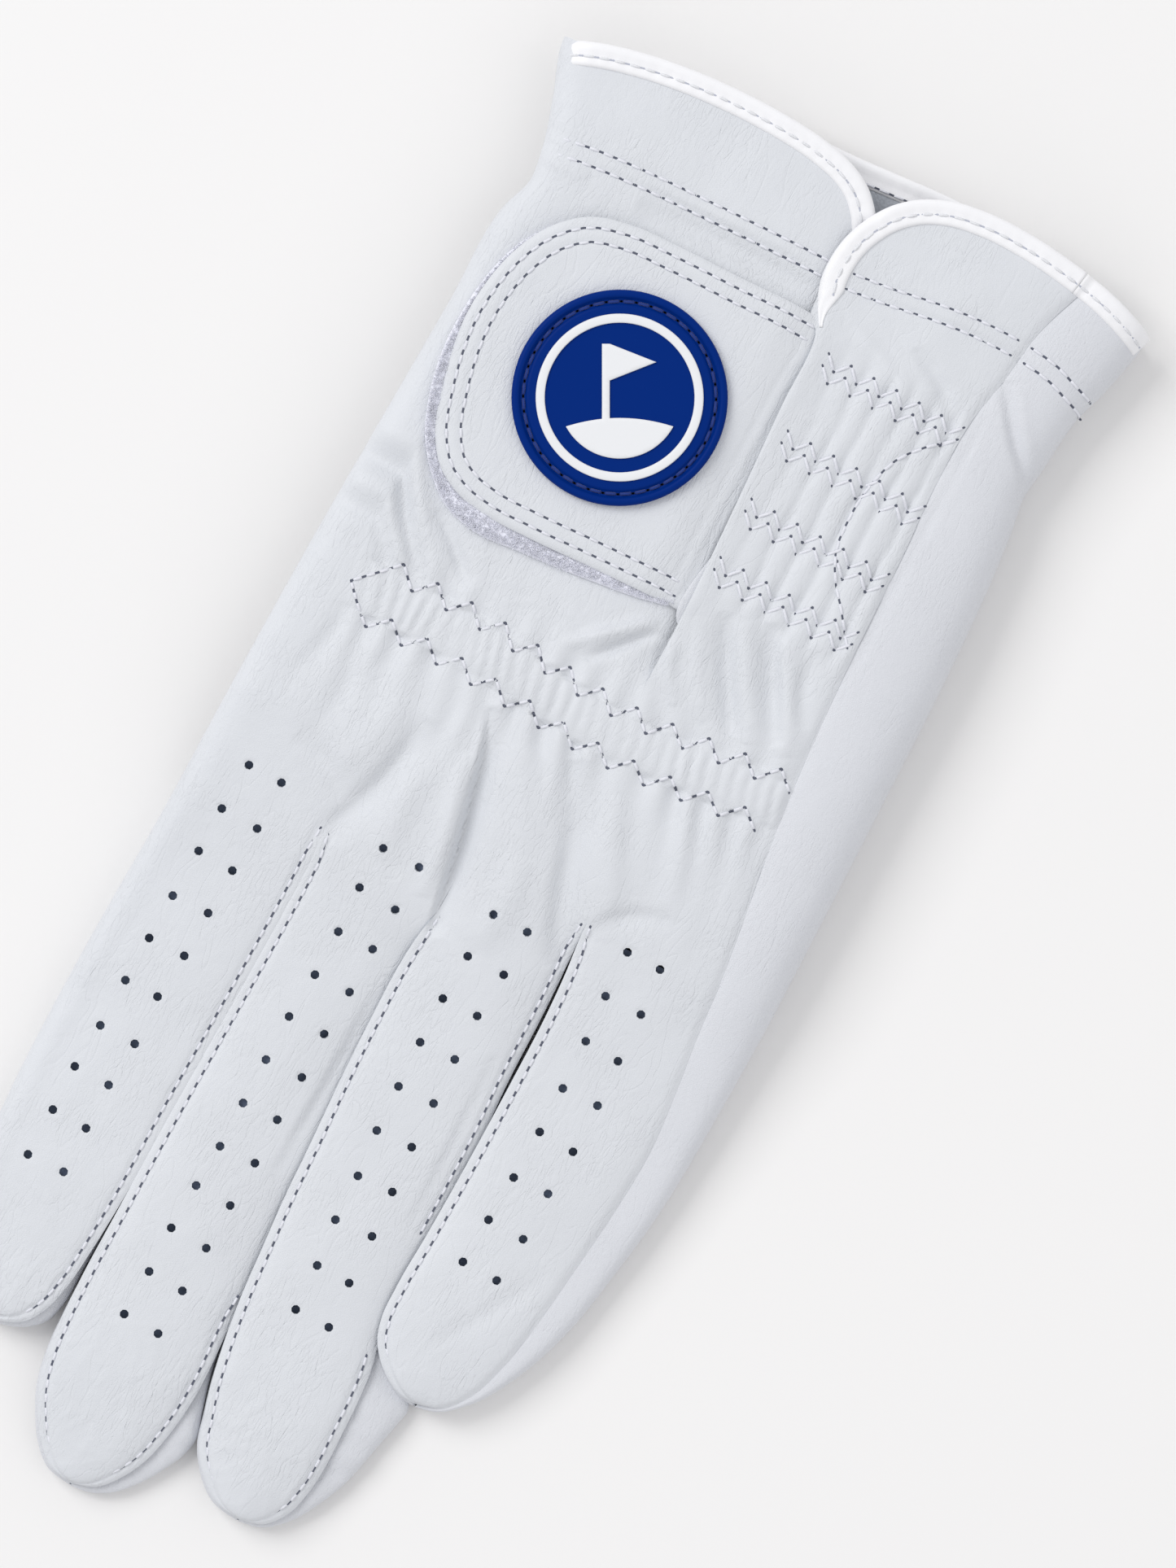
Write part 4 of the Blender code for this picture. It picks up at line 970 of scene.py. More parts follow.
def finger_stitches(stall):
    threads = Threads()
    for (name, side), spans in SEWN.items():
        if name != stall.name:
            continue
        line, sign = (stall.left, 1) if side == "left" else (stall.right, -1)
        share = np.linspace(0, 0.985, 160)
        grown = ramp(0, 6, line.at(share)[:, 1] - spans[0][0])[:, None]
        path = line.at(share) + line.normal(share) * sign * (0.7 + (STITCH_IN - 0.7) * grown)

        def height(x, y, side=side):
            width = np.interp(y, stall.left.at(stall.t)[:, 1], stall.width)
            other = np.maximum(width - STITCH_IN, STITCH_IN)
            near = np.full_like(x, STITCH_IN)
            dl, dr = (near, other) if side == "left" else (other, near)
            tip = np.abs(stall.left.at(np.array([1.0]))[0, 1] - y) + 0.4
            return finger_height(stall.name, x, y, dl, dr, tip) + 0.08
        for low, high in spans:
            part = path[(path[:, 1] > low) & (path[:, 1] < high)]
            threads.row(part, height, 2.2, 0.66, 0.21)
    return threads.make(stall.name + "_seam_thread")


def inner_side(stall):
    """Flesh side of the palm leather, which lies flat behind the air holes of an empty finger; its dark slate
    colour is painted shade.
    """
    u = np.linspace(0.09, 0.91, 14)
    t = np.linspace(0.02, 0.93, int(stall.length / 2))
    l, r = stall.left.at(t), stall.right.at(t)
    plan = lerp(l, r, u)
    width = np.linalg.norm(r - l, axis=1)[:, None]
    dl, dr = u[None] * width, (1 - u[None]) * width
    z = finger_height(stall.name, plan[..., 0], plan[..., 1], dl, dr, (1 - t[:, None]) * stall.length)
    z = z - LEATHER - 0.95 - 0.55 * noise(plan[..., 0], plan[..., 1], 7.0, 77)
    z = np.maximum(z, 1.9)
    return sheet(stall.name + "_inner_side", np.concatenate([plan, z[..., None]], axis=2), 0.3, PAINTED_SHADE_BEHIND_HOLES, PAINTED_SHADE_BEHIND_HOLES)


def make_stall(name):
    stall = Stall(name)
    pieces = [make_back(stall), make_palm_side(stall)]
    if name != "little":
        pieces.append(side_strip(stall, "left"))
    if name != "index":
        pieces.append(side_strip(stall, "right"))
    pieces += finger_stitches(stall) + [inner_side(stall)]
    for piece in pieces:
        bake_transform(piece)


# ---- Hand and wrist ----
def index_turn(x_in, y, z_top):
    """The back leather's turn round the index edge, at rows y."""
    inner = np.stack([x_in, y], -1)
    outer = np.stack([INDEX_SIDE(y), y], -1)
    low = underside(outer[:, 0], y) + 0.15
    return turn_down(inner, outer, z_top, low + (z_top - low) * 0.48, low, np.full(len(y), 3.5), 3.0, 16, 8)


def make_hand_back():
    y = np.linspace(WRIST_Y, JOIN_Y, int((JOIN_Y - WRIST_Y) / STEP) + 1)
    left, right = SEAM(y), INDEX_SIDE(y) - SIDE_TURN
    u = np.linspace(0, 1, int(84 / STEP))
    x = left[:, None] * (1 - u) + right[:, None] * u
    yy = np.repeat(y[:, None], len(u), axis=1)
    p = np.stack([x, yy, back_height(x, yy)], -1)
    p = np.concatenate([p, index_turn(right, y, p[:, -1, 2])], axis=1)
    piece = sheet("hand_back", p, LEATHER, WHITE, FLESH_WITH_PAINTED_SHADE)
    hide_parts("back_leather")
    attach(piece, "hand")


def round_index_edge(z, x, y):
    """Follows the leather's turn round the index edge, beyond its flat part."""
    a = np.clip((x - INDEX_SIDE(y) + SIDE_TURN) / SIDE_TURN, 0, 1)
    low = 6.0
    return np.where(a > 0, low + (z - low) * (1 - a ** 3) ** (1 / 3), z)


def under_flap(x, y):
    """The index side sinks under the flap's edge; the flap's own edge stands over it."""
    return 1.3 * ramp(-31, -38, y) * np.exp(-np.clip(x - SLIT(y), 0, None) / 2.5)


def under_pad(x, y):
    """The leather below the fastening lies a little lower, with a soft valley round it."""
    return 0.35 * ramp(-40, -46, y) * (1 - ramp(-89, -95, y)) * (1 - ramp(42, 48, x))


def wrist_height(x, y):
    return back_height(x, y) - under_flap(x, y) - under_pad(x, y)


def index_side_height(x, y):
    """Outside of the wrist on the index side, with its turn round the edge."""
    return round_index_edge(wrist_height(np.minimum(x, INDEX_SIDE(y) - SIDE_TURN), y), x, y)


def flap_height(x, y):
    """Outside of the flap, whose free edge is lifted most where the tab passes under it."""
    from_slit = np.clip(SLIT(y) - x, 0, None)
    over_tab = ramp(-41, -47, y) * (1 - ramp(-91, -97, y))
    lift = (0.75 + 0.95 * over_tab) * np.exp(-from_slit / 5.0) - 0.4 * np.exp(-from_slit / 0.5)
    return back_height(x, y) + lift * ramp(-31, -42, y)


def make_wrist_index():
    v = np.linspace(1, 0, int(84 / STEP))
    edge_rows = WRIST_Y + v * (-112.5 - WRIST_Y)
    left = SLIT(edge_rows) - 1.5 * ramp(-31, -40, edge_rows)
    right = INDEX_SIDE(edge_rows) - SIDE_TURN
    u = np.linspace(0, 1, int(52 / STEP))
    x = left[:, None] * (1 - u) + right[:, None] * u
    y = WRIST_Y + v[:, None] * (INDEX_END(x) - WRIST_Y)
    x = x + (INDEX_SIDE(y[:, -1:]) - SIDE_TURN - x[:, -1:]) * u ** 2      # keeps the last column on the edge
    p = np.stack([x, y, wrist_height(x, y)], -1)
    p = np.concatenate([p, index_turn(x[:, -1], y[:, -1], p[:, -1, 2])], axis=1)
    piece = sheet("wrist_back_index_side", p, LEATHER, WHITE, FLESH_WITH_PAINTED_SHADE)
    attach(piece, "hand")


def make_flap():
    v = np.linspace(1, 0, int(86 / STEP))
    edge_rows = WRIST_Y + v * (-112.0 - WRIST_Y)
    left, right = SEAM(edge_rows), SLIT(edge_rows)
    u = np.linspace(0, 1, int(28 / STEP))
    x = left[:, None] * (1 - u) + right[:, None] * u
    y = WRIST_Y + v[:, None] * (FLAP_END(x) - WRIST_Y)
    x = x + (SEAM(y[:, :1]) - x[:, :1]) * (1 - u) ** 2
    piece = sheet("wrist_flap_back", np.stack([x, y, flap_height(x, y)], -1), LEATHER, WHITE, FLESH_WITH_PAINTED_SHADE)
    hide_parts("wrist_flap_leather")
    return piece


def make_palm():
    """Side strip and palm: from the side seam, round the little-finger edge and across underneath."""
    rows = int((JOIN_Y + 119) / STEP)
    v = np.linspace(1, 0, rows)
    y_seam = JOIN_Y + v * (SIDE_END(-37.0) - JOIN_Y)
    inner = np.stack([SEAM(y_seam), y_seam], -1)
    y_edge = JOIN_Y + v * (SIDE_END(-50.5) - JOIN_Y)
    outer = np.stack([LITTLE_SIDE(y_edge), y_edge], -1)
    a = np.linspace(0, 1, 27)
    top = lerp(inner, outer, a)
    z = side_height(top[..., 0], top[..., 1])
    top = np.concatenate([top, z[..., None]], axis=2)
    mid, low = z[:, -1], underside(outer[:, 0], y_edge) + 0.08
    bend = np.linspace(0, pi / 2, 9)[1:]
    y_palm = JOIN_Y + v * (PALM_END(-46.0) - JOIN_Y)
    inset_x = outer[:, :1] + 4.0 * (1 - np.cos(bend))
    inset_y = y_edge[:, None] + (y_palm - y_edge)[:, None] * (bend / bend[-1])[None, :]
    down = np.stack([inset_x, inset_y, mid[:, None] - (mid - low)[:, None] * np.sin(bend)], -1)
    across = np.linspace(0, 1, 46)[1:]
    right = INDEX_SIDE(y_palm) - 3.8
    start_x = inset_x[:, -1]
    x = start_x[:, None] + (right - start_x)[:, None] * across
    y = JOIN_Y + v[:, None] * (PALM_END(x) - JOIN_Y)
    lines = np.clip(0.25 * noise(x, y, 8, 91), 0, None)
    lines = lines + fold(x, y, [(-20, -8), (5, -2), (30, -12)], 0.5, 1.5, 1.5)
    palm = np.stack([x, y, underside(x, y) + 0.04 + lines], -1)
    grid = np.concatenate([top, down, palm], axis=1)[:, ::-1]
    piece = sheet("palm_and_side_strip", grid, LEATHER, PALM, FLESH_WITH_PAINTED_SHADE)
    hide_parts("palm_leather")
    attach(piece, "hand")


# ---- Hems, linings and hand stitching ----
TAPE_ROW, TAPE_PITCH = 2.3, 2.4              # the tape's stitches: distance from its fold, and length
TAPE_SECTION = [(3.85, 0.0), (3.75, 0.30), (3.2, 0.44), (2.7, 0.42), (2.3, 0.38), (1.9, 0.44), (1.3, 0.58),
                (0.7, 0.62), (0.25, 0.45), (0.0, 0.05), (-0.05, -0.4), (0.1, -0.85), (0.5, -1.15),
                (1.3, -1.25), (2.6, -1.2), (3.6, -1.1), (3.7, -0.6)]
SIDE_BINDING = [(-50.4, -115.6), (-46.4, -117.0), (-42.5, -118.2), (-38.6, -119.1), (-36.9, -119.4)]
FLAP_BINDING = [(-36.8, -119.4), (-34.8, -119.7), (-27, -120.5), (-19.3, -120.4), (-13, -119.2),
                (-8.5, -117), (-5.2, -114), (-3.0, -110.6), (-1.6, -107), (-1.0, -103), (-1.4, -98.6),
                (-2.7, -95.4), (-4.4, -92.6)]
INDEX_BINDING = [(-7.5, -106.5), (-5.6, -109.6), (-3.6, -112.6), (-1.0, -115.2), (2.3, -117), (7.7, -118.4),
                 (15.5, -119.1), (23, -119.1), (31, -118.5), (38.7, -117.3), (45.2, -115.6), (49.4, -114.0),
                 (50.7, -113.4)]
HEM_LINE = [(-29, -120.2), (-20, -120.5), (-11.6, -120.4), (-4, -119.8), (3.9, -119.2), (14, -118.9),
            (25, -118.4), (39, -116.4)]


def side_seam_height(x, y):
    """Surface of the glove either side of the side seam."""
    return np.where(x < SEAM(y), side_height(np.minimum(x, SEAM(y)), y), flap_height(x, y))


def tape_stitches(threads, path, height, end=0.996):
    """The row of stitches along a binding."""
    line = Line(path)
    share = np.linspace(0.004, end, 60)
    row = line.at(share) - line.normal(share) * TAPE_ROW
    threads.row(row, lambda x, y: height(x, y) + 0.33, TAPE_PITCH, 0.72, 0.2)


def make_bindings():
    """Binding tape of the cuff and hem of the palm; returns the pieces that ride with the flap."""
    side = sweep("side_binding", SIDE_BINDING, side_seam_height, 0.12)
    index = sweep("index_binding", INDEX_BINDING, index_side_height, 0.12)
    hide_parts("side_cuff_binding")
    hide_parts("index_cuff_binding")
    threads = Threads()
    tape_stitches(threads, SIDE_BINDING, side_seam_height)
    tape_stitches(threads, INDEX_BINDING, index_side_height)
    pieces = [side, index] + threads.make("binding_thread", WHITE_THREAD, FAINT_NEEDLE_PIT_SHADE, 0.26)

    def in_palm(x, y):
        return underside(x, y) + 0.75

    hem = sweep("palm_hem", HEM_LINE, in_palm, 0.1)
    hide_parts("cuff_hem_tape")
    threads = Threads()
    threads.row(shifted(HEM_LINE, 3.3), lambda x, y: in_palm(x, y) + 0.42, TAPE_PITCH, 0.72, 0.2)
    pieces += [hem] + threads.make("hem_thread", pit_radius=0.3)
    for piece in pieces:
        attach(piece, "hand")
    flap = sweep("flap_binding", FLAP_BINDING, flap_height, 0.12, 0.85)
    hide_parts("flap_cuff_binding")
    threads = Threads()
    tape_stitches(threads, FLAP_BINDING, flap_height, 0.91)
    return [flap] + threads.make("flap_binding_thread", WHITE_THREAD, FAINT_NEEDLE_PIT_SHADE, 0.26)


SIDE_CUFF_ROW = [(-46.8, -99.8), (-43, -100.9), (-39.5, -102.0), (-34.6, -102.7)]
FLAP_CUFF_ROW = [(-32.4, -102.8), (-27, -102.7), (-19.3, -101.9), (-11.6, -100.6), (-5.2, -99.8)]
ROW_WIDTH, TOOTH_SWING = 1.03, 1.08          # half the width of a double zigzag, and its swing


def make_hand_stitches():
    threads = Threads()
    corners = {}
    for key, (row, start, end, swing) in KNUCKLE_ROWS.items():
        corners[key] = zigzag(graph(row), start, end, swing, KNUCKLE_TOOTH)
        for a, b in zip(corners[key], corners[key][1:]):
            threads.row([a, b], back_height, 2.3, 0.7)
    point = np.array([40.6, -24.9])          # the two rows meet in a point by the index edge
    for key in corners:
        threads.row([corners[key][0], point], back_height, 2.0, 0.7)
    for shift in (0.0, ROW_GAP):
        threads.row(shifted(CUFF_ROWS["index"], shift), index_side_height)
        threads.row(shifted(SIDE_CUFF_ROW, shift), side_height)
    ride_all(threads.make("hand_thread"), "hand")
    threads = Threads()
    for row in WRIST_ROWS:
        for shift in (-ROW_WIDTH, ROW_WIDTH):
            end = -31.6 if row > -80 else -31.2
            corner = zigzag(lambda x, y=row + shift: y - 0.008 * (x + 20), -7.6, end, TOOTH_SWING, TOOTH)
            threads.legs(corner, flap_height)
    threads.row(ANCHOR_ROW, flap_height, 2.4)
    for shift in (0.0, ROW_GAP):
        threads.row(shifted(FLAP_CUFF_ROW, shift), flap_height)
    return threads.make("flap_thread", pit_radius=0.3)


def lining(name, node, loop, over, depth, thick, material, slot, ribs=0.0):
    """Flat strip sewn inside: it follows the leather it lies under (or on, where depth is negative)."""
    def top(x, y, d):
        return over(x, y) - depth - 0.15 * np.exp(-d / 0.2) + ribs * np.sin(2 * pi * y / 1.1)

    def bottom(x, y, d):
        return over(x, y) - depth - thick + 0.15 * np.exp(-d / 0.2)
    piece = pad(name, loop, top, bottom, material, (0.15, 0.5), 1.0)
    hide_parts(node)
    return piece


def box_loop(x0, x1, y0, y1, pitch=0.9):
    xs, ys = np.arange(x0, x1, pitch), np.arange(y0, y1, pitch)
    edge = [(x, y0) for x in xs] + [(x1, y) for y in ys] + [(x, y1) for x in xs[::-1] + (x1 - xs[-1])]
    edge += [(x0, y) for y in ys[::-1] + (y1 - ys[-1])]
    return np.array(edge, float)


def make_linings():
    """Elastics, facing, patch and label inside the glove; returns those that ride with the flap."""
    inside, strip = LEATHER + 0.12, (ELASTIC, "elastic", 0.05)
    knuckle = lining("knuckle_gather", "knuckle_elastic", box_loop(-25.5, 38, -29, -20),
                     back_height, inside, 0.5, *strip)
    palm = lining("palm_gather", "palm_wrist_elastic", box_loop(-26, 36, -97, -91),
                  underside, -1.5, 0.5, *strip)
    label = lining("blank_label", "size_label", box_loop(-20, -4, -88.5, -79.5),
                   underside, -1.4, 0.25, TAPE, "label_fabric")
    ride_all([knuckle, palm, label], "hand")
    facing = closed_outline([(-11.5, -42), (-7.6, -42), (-7.0, -60), (-6.2, -80), (-5.6, -92), (-4.0, -98),
                             (-3.6, -103.5), (-9.5, -103.5), (-11.8, -92), (-12.0, -66)], 0.9)
    patch = closed_outline([(-12.5, -51), (-12.5, -69), (-12.5, -87.5), (-20, -87.5), (-24.4, -80.5),
                            (-24.5, -69), (-23.4, -58), (-18, -50.6)], 0.9)
    strips = [lining("slit_edge_facing", "slit_facing", facing,
                     flap_height, inside, 0.5, PALM, "palm_leather"),
              lining("anchor_patch", "tab_anchor", patch,
                     flap_height, inside, 0.5, PALM, "white_leather")]
    for k, (left, row) in enumerate(zip((-13.7, -17.0, -21.0, -25.0), WRIST_ROWS)):
        loop = box_loop(left, -7.8, row - 2.5, row + 2.5)
        strips.append(lining(f"wrist_gather_{k + 1}", f"wrist_elastic_{k + 1}", loop,
                             flap_height, inside + 0.65, 0.45, *strip))
    return strips


# ---- Fastening tab, pads and badge ----
TAB_OUTLINE = [(-6.6, -69), (-6.6, -57), (-6.6, -46.5), (-6.2, -44.5), (-4.0, -44.4), (10, -43.8),
               (20, -43.3), (27.5, -43.3), (32.5, -44.3), (36.5, -46.5), (39.8, -50.8), (42.2, -57.5),
               (43.7, -64.5), (44.1, -70), (43.6, -75.5), (42.2, -81), (39.2, -86.8), (34.6, -91),
               (28, -93), (20, -93.5), (10, -93.7), (-4, -93.8), (-6.2, -93.5), (-6.6, -91.5), (-6.6, -80)]
PAD_OUTLINE = [(-4.2, -69), (-4.2, -50), (-4.2, -44.4), (-1.5, -43.6), (7.7, -42.1), (19.3, -40.9),
               (28.4, -40.4), (33.3, -41.8), (37, -44.7), (40.8, -49.4), (43.3, -55.5), (44.8, -63),
               (44.9, -70), (43.7, -78), (41.6, -83.5), (37.5, -88.2), (31.5, -90.4), (18, -90.6),
               (2, -90.6), (-3.2, -90.4), (-4.2, -88)]
TAB_TOP, TAB_THICK = 16.4, 0.95
TAB_DIP = 1.35                               # how far it sinks to pass under the flap
TAB_ROWS = (1.75, 3.95)                      # its stitch rows, from the edge
BADGE = (17.4, -68.7)
FIBRE = 0.045                                # half the width of one pile fibre
FIBRE_DRAWS, FIBRES = 60000, 5200            # places drawn at random, and how many of them are used


def tab_top(x, y, d):
    """Outside of the tab: it dips to pass under the flap, its edge is turned and two rows draw it in."""
    z = TAB_TOP - TAB_DIP * ramp(2.0, -6.0, x) + 0.10 * noise(x, y, 12, 51) + 0.03 * noise(x, y, 3, 52)
    z -= 0.5 * np.exp(-(d / 0.45)) + 0.14 * np.exp(-(d / 1.2) ** 2)
    for row in TAB_ROWS:
        z -= 0.16 * np.exp(-((d - row) / 0.45) ** 2)
    return z - 0.10 * ramp(TAB_ROWS[1], 5.5, d)


def tab_bottom(x, y, d):
    return TAB_TOP - TAB_THICK - TAB_DIP * ramp(2.0, -6.0, x) + 0.25 * np.exp(-d / 0.3)


def pile_top(x, y, d):
    rough = 0.10 * noise(x, y, 1.1, 55) + 0.05 * noise(x, y, 0.5, 56)
    return wrist_height(x, y) + 0.82 - 0.45 * np.exp(-d / 0.35) + rough * np.clip(d / 0.5, 0, 1)


def make_pile(loop):
    """Loose loops and ends standing out of the loop pad where the tab does not cover it."""
    rng = np.random.default_rng(7)
    low, high = loop.min(0), loop.max(0)
    spots = rng.uniform(low, high, (FIBRE_DRAWS, 2))
    tab = closed_outline(TAB_OUTLINE, 1.0)
    free = inside_loop(spots, offset_loop(loop, 0.15)) & ~inside_loop(spots, offset_loop(tab, 1.2))
    spots = spots[free][:FIBRES]
    n = len(spots)
    turn = rng.uniform(0, 2 * pi, n)
    lean, tall = rng.uniform(0.25, 0.75, n), rng.uniform(0.12, 0.34, n)
    way = np.stack([np.cos(turn), np.sin(turn)], -1)
    side = np.stack([-way[:, 1], way[:, 0]], -1)
    z0 = pile_top(spots[:, 0], spots[:, 1], np.full(n, 1.0)) - 0.05
    points = []
    share = np.array([0.0, 0.35, 0.7, 1.0])
    rise = np.array([0.0, 0.85, 1.0, 0.55])
    width = np.array([FIBRE, FIBRE, 0.04, 0.02])
    for k in range(4):
        middle = spots + way * (lean * share[k])[:, None]
        for s, up in ((-1, 0.0), (1, 0.0), (0, 0.07)):
            xy = middle + side * s * width[k]
            points.append(np.concatenate([xy, (z0 + tall * rise[k] + up * width[k] / FIBRE)[:, None]], 1))
    points = np.stack(points, 1).reshape(-1, 3)
    fibre = [[3 * k + i, 3 * k + (i + 1) % 3, 3 * k + 3 + (i + 1) % 3, 3 * k + 3 + i]
             for k in range(3) for i in range(3)] + [[2, 1, 0], [9, 10, 11]]
    return mesh_object("loop_pad_pile", points, copies(fibre, len(points), 12), [PILE])


def make_fastening():
    hand_loop = closed_outline(PAD_OUTLINE, 0.8)
    loops = pad("loop_pad_pile_base", hand_loop, pile_top, lambda x, y, d: wrist_height(x, y) + 0.05, PILE,
                (0.2, 0.5), 0.6)
    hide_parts("loop_pad")
    ride_all([loops, make_pile(hand_loop)], "hand")

    tab = pad("tab_leather", closed_outline(TAB_OUTLINE, 0.6), tab_top, tab_bottom, WHITE,
              (0.1, 0.25, 0.5, 0.9, 1.4, TAB_ROWS[0], 2.1, 2.6, 3.1, 3.55, TAB_ROWS[1], 4.35), 0.6)
    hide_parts("closure_tab")
    threads = Threads()
    dense = closed_outline(TAB_OUTLINE, 0.4)
    for inset in TAB_ROWS:
        path = offset_loop(dense, inset)
        start = np.argmin(np.abs(path - np.array([-5.6, -93])).sum(1))
        path = np.roll(path, -start, axis=0)
        path = path[path[:, 0] > -1.5][::3]                      # the rows end where the flap covers the tab
        path = np.vstack([[-4.3, path[0][1]], path, [-4.3, path[-1][1]]])
        threads.row(path, lambda x, y, d=inset: tab_top(x, y, np.full_like(x, d)) + 0.02, 2.3, 0.7, 0.22)
    pieces = [tab] + threads.make("tab_thread", pit_radius=0.33)
    for piece in pieces:
        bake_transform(piece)

    hook_loop = closed_outline([(6, -68.5), (6, -53), (7.5, -50.6), (20, -49.6), (31, -50.4), (36, -54.5),
                                (38.6, -61.0), (39.2, -68.5), (38.6, -76), (36, -82), (31, -86.4),
                                (20, -87.3), (7.5, -86.4), (6, -84)], 0.9)
    hooks = pad("hooks", hook_loop, lambda x, y, d: np.full_like(x, TAB_TOP - TAB_THICK - 0.03),
                lambda x, y, d: TAB_TOP - TAB_THICK - 0.6 + 0.2 * np.exp(-d / 0.2)
                + 0.08 * np.sin(x * 5.5) * np.sin(y * 5.5), HOOKS, (0.2, 0.5), 0.45)
    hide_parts("hook_pad")
    ride_all([hooks] + make_badge(), "tab")


def make_badge():
    low = TAB_TOP - 0.08
    section = [(0, -0.1), (14.5, -0.1), (16.2, -0.1), (16.42, 0.05), (16.5, 0.35), (16.5, 1.0),
               (16.42, 1.28), (16.22, 1.48), (15.95, 1.58), (15.65, 1.58), (15.4, 1.46), (15.25, 1.22),
               (15.12, 1.02), (14.9, 0.93), (14.55, 0.93), (14.35, 1.0), (14.22, 1.16), (14.05, 1.27),
               (13.8, 1.3), (12.0, 1.3), (8.0, 1.3), (3.0, 1.3), (0, 1.3)]
    base = turned_piece("badge_body", BADGE, [(r, low + h) for r, h in section], BLUE)
    ring = [(11.42, 1.28), (12.78, 1.28), (12.8, 1.5), (12.74, 1.62), (12.6, 1.68), (11.6, 1.68),
            (11.46, 1.62), (11.4, 1.5)]
    hoop = turned_piece("badge_hoop", BADGE, [(r, low + h) for r, h in ring], WHITE_RUBBER)
    emblem = flag_emblem(low + 1.28)
    for piece, node, slot in ((base, "badge_base", "blue_rubber"), (hoop, "badge_ring", "white_rubber"),
                              (emblem, "badge_emblem", "white_rubber")):
        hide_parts(node)
    threads = Threads()
    radius, count = 14.72, 40
    turn = np.linspace(0, 2 * pi, count + 1)
    spots = [np.array([BADGE[0] + radius * cos(a), BADGE[1] + radius * sin(a)]) for a in turn]
    threads.legs(spots, lambda x, y: np.full_like(x, low + 0.95), 0.8)
    return [base, hoop, emblem] + threads.make("badge_thread", BLUE_THREAD, BLUE_NEEDLE_PIT_SHADE, 0.3)


def flag_emblem(low):
    """Plain golf flag on a green, one raised shape, turned to stand upright in the main view."""
    radius, ground, left, right = 9.3, -4.4, -2.7, -1.5
    half = (radius ** 2 - ground ** 2) ** 0.5

    def green(x):
        return (x, ground + 1.3 * (1 - (x / half) ** 2))
    corners = [green(x) for x in np.linspace(half, right, 24)]
    corners += [(right, 2.6), (5.6, 5.4), (right, 8.2), (left, 8.2)]
    corners += [green(x) for x in np.linspace(left, -half, 14)]
    edge = np.arcsin(-ground / radius)
    corners += [(-radius * cos(a), -radius * sin(a)) for a in np.linspace(edge, pi - edge, 50)[1:-1]]
    loop = []
    for a, b in zip(corners, corners[1:] + corners[:1]):
        a, b = np.array(a), np.array(b)
        steps = max(int(np.linalg.norm(b - a) / 0.35), 1)
        loop += [a + (b - a) * k / steps for k in range(steps)]
    loop = np.array(loop)
    up = np.array([sin(ROLL), -cos(ROLL)])
    across = np.array([up[1], -up[0]])
    loop = np.array(BADGE) + loop[:, :1] * across + loop[:, 1:] * up
    return pad("badge_flag", loop, lambda x, y, d: low + 0.4 - 0.13 * np.exp(-d / 0.06),
               lambda x, y, d: np.full_like(x, low), WHITE_RUBBER, (0.12,), 0.5)


# ---- Thumb ----
THUMB_PIVOT = np.array([27.0, -61.0])
THUMB_ANGLE = radians(137.0)
THUMB_LENGTH, THUMB_DEPTH, THUMB_HALF = 56.0, 5.6, 13.0
THUMB_STRAIGHT = 40.0                        # its tip starts to round off here


def thumb_half(s):
    round_base = THUMB_HALF * np.sqrt(np.clip(1 - (s / 13.2) ** 2, 0, 1))
    middle = THUMB_HALF - 0.03 * s
    along = (s - THUMB_STRAIGHT) / (THUMB_LENGTH - THUMB_STRAIGHT)
    tip = (THUMB_HALF - 1.2) * np.sqrt(np.clip(1 - along ** 2, 0, 1))
    return np.where(s < 0, round_base, np.where(s < THUMB_STRAIGHT, middle, tip))


def thumb_spot(s, w, z):
    along = np.array([cos(THUMB_ANGLE), sin(THUMB_ANGLE)])
    across = np.array([along[1], -along[0]])
    xy = THUMB_PIVOT + s[..., None] * along + w[..., None] * across
    return np.concatenate([xy, z[..., None]], axis=-1)


def thumb_skin(name, stations, angles, material):
    """One leather of the thumb: stations along it, and angles round its flattened section."""
    s, a = np.meshgrid(stations, angles, indexing="ij")
    end = np.clip((s - THUMB_STRAIGHT) / (THUMB_LENGTH - THUMB_STRAIGHT), 0, 1)
    half, tall = thumb_half(s), THUMB_DEPTH / 2 * (1 - 0.35 * end ** 3)
    w = half * np.sign(np.cos(a)) * np.abs(np.cos(a)) ** 0.7
    z = THUMB_DEPTH / 2 + tall * np.sign(np.sin(a)) * np.abs(np.sin(a)) ** 0.45
    z += 0.08 * noise(s, w, 5, 41) * np.abs(np.sin(a)) + 0.1
    return sheet(name, thumb_spot(s, w, z)[:, ::-1], 0.6, material, FLESH_WITH_PAINTED_SHADE)


def make_thumb():
    """Folded thumb stall: a lower half under a round mouth and an upper half on its outer part."""
    tip = THUMB_STRAIGHT + (THUMB_LENGTH - THUMB_STRAIGHT) * np.sin(np.linspace(0, pi / 2, 22)[1:-1])
    gap = 0.02                               # angle left open at the seam between the halves
    upper = thumb_skin("thumb_top", np.concatenate([np.linspace(12.0, THUMB_STRAIGHT, 40), tip]),
                       np.linspace(gap, pi - gap, 48), WHITE)
    lower = thumb_skin("thumb_under", np.concatenate([np.linspace(-12.6, THUMB_STRAIGHT, 76), tip]),
                       np.linspace(pi + gap, 2 * pi - gap, 48), PALM)
    for piece, node, slot in ((upper, "thumb_upper_leather", "white_leather"),
                              (lower, "thumb_lower_leather", "palm_leather")):
        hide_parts(node)
    ride_all([upper, lower], "thumb")


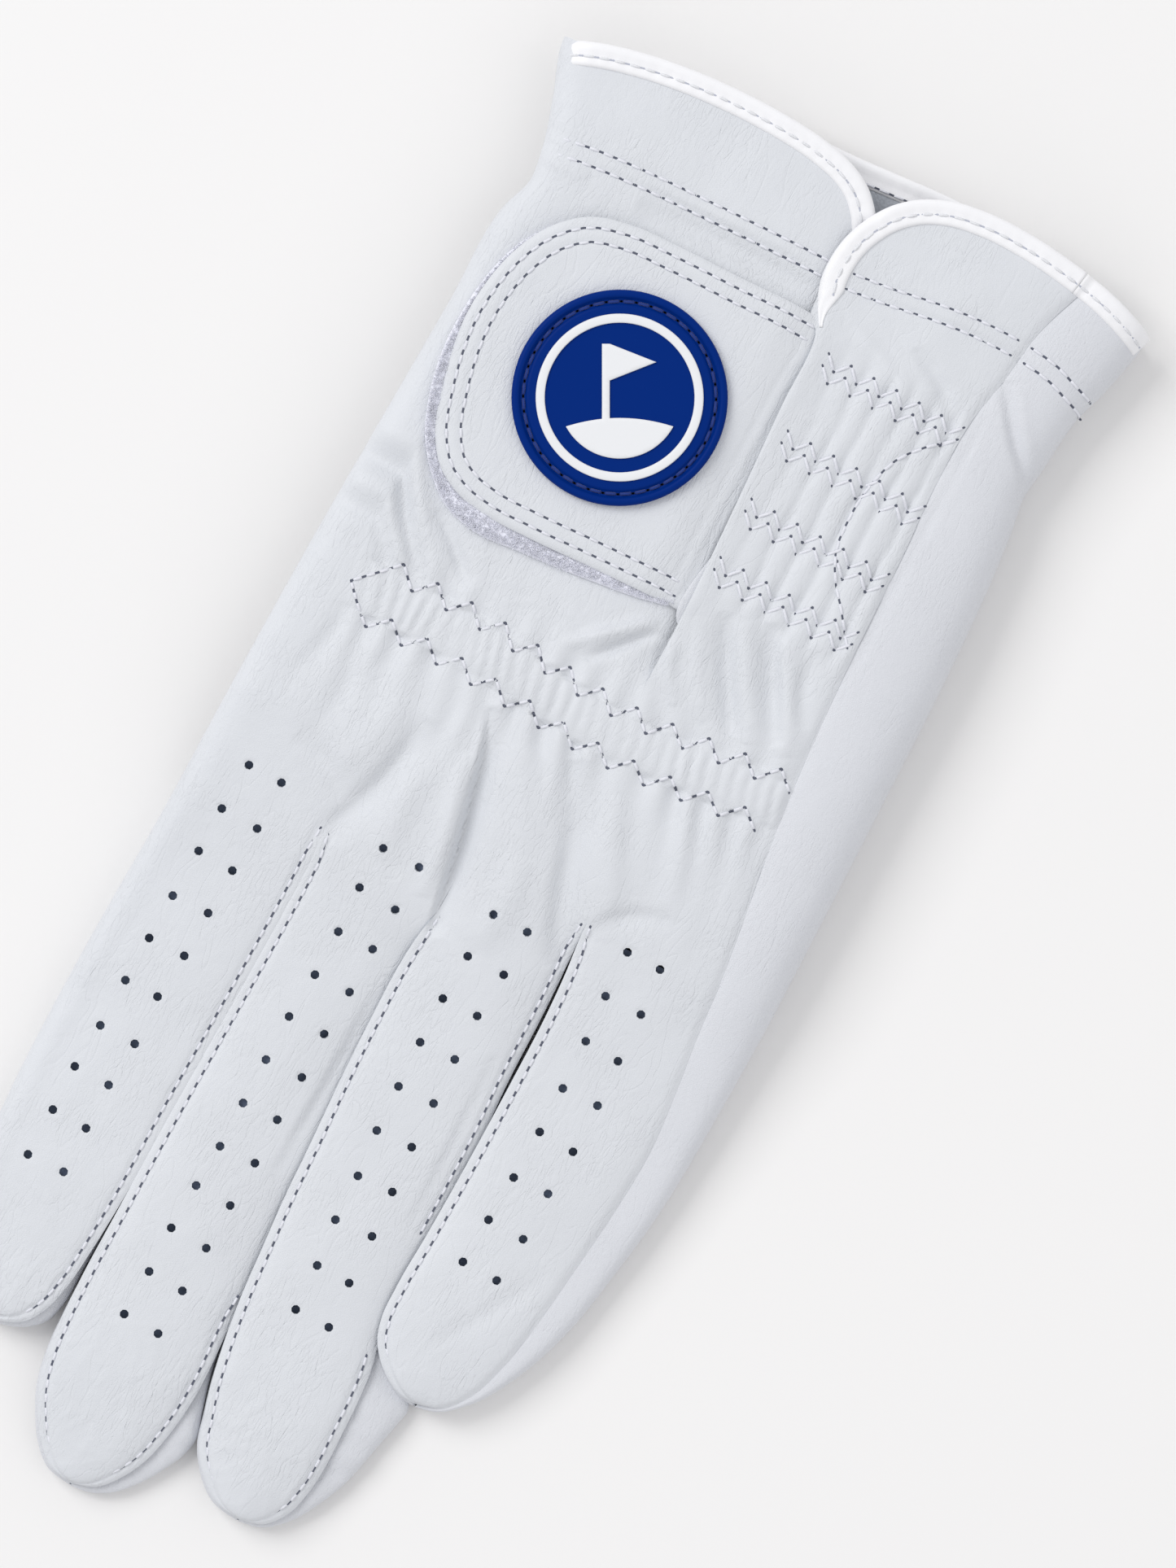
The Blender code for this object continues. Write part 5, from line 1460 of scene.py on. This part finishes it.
# ---- Stage ----
def make_stage():
    bpy.ops.mesh.primitive_plane_add(size=6.0, location=(0, 0, -0.0002))
    floor = bpy.context.object
    floor.name = "floor"
    floor.data.materials.append(plain("floor", (0.885, 0.878, 0.872)))
    world = bpy.data.worlds.new("studio")
    bpy.context.scene.world = world
    world.use_nodes = True
    sky = world.node_tree.nodes["Background"].inputs
    sky["Color"].default_value = (0.985, 0.985, 1.0, 1)
    sky["Strength"].default_value = 0.655


VIEW_RIGHT = Vector((-cos(ROLL), -sin(ROLL), 0))
VIEW_UP = Vector((sin(ROLL), -cos(ROLL), 0))


def make_light(name, across, up, height, size, power):
    """Soft panel over the glove, placed to the right of and up from it as the main view shows it."""
    data = bpy.data.lights.new(name, "AREA")
    data.shape = "SQUARE"
    data.size = size
    data.energy = power
    light = bpy.data.objects.new(name, data)
    light.location = VIEW_RIGHT * across + VIEW_UP * up + Vector((0, 0, height))
    light.rotation_euler = light.location.to_track_quat("Z", "Y").to_euler()
    bpy.context.scene.collection.objects.link(light)


def make_camera():
    data = bpy.data.cameras.new("camera")
    data.sensor_fit = "HORIZONTAL"
    data.sensor_width = 27.0
    distance, view_width, plane = 1.0, 0.1806, 0.010     # metres; the width is measured at the plane
    data.lens = data.sensor_width * distance / view_width
    camera = bpy.data.objects.new("camera", data)
    look = frame_point((-5.99, -14.44, 0.0))
    matrix = Matrix((VIEW_RIGHT, VIEW_UP, Vector((0, 0, 1)))).transposed().to_4x4()
    matrix.translation = Vector((look[0], look[1], plane + distance))
    camera.matrix_world = matrix
    data.clip_start = 0.05
    bpy.context.scene.collection.objects.link(camera)
    bpy.context.scene.camera = camera


def main():
    make_camera()
    make_stage()
    make_light("key", -1.35, 1.25, 1.85, 1.45, 32.0)
    make_light("fill", 1.3, -0.6, 1.7, 2.0, 6.5)
    bpy.context.scene.view_settings.view_transform = "Standard"
    for name in FINGERS:
        make_stall(name)
    make_hand_back()
    make_wrist_index()
    make_palm()
    flap_pieces = [make_flap()] + make_bindings() + make_hand_stitches() + make_linings()
    for piece in flap_pieces:
        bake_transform(piece)
    make_fastening()
    make_thumb()


main()
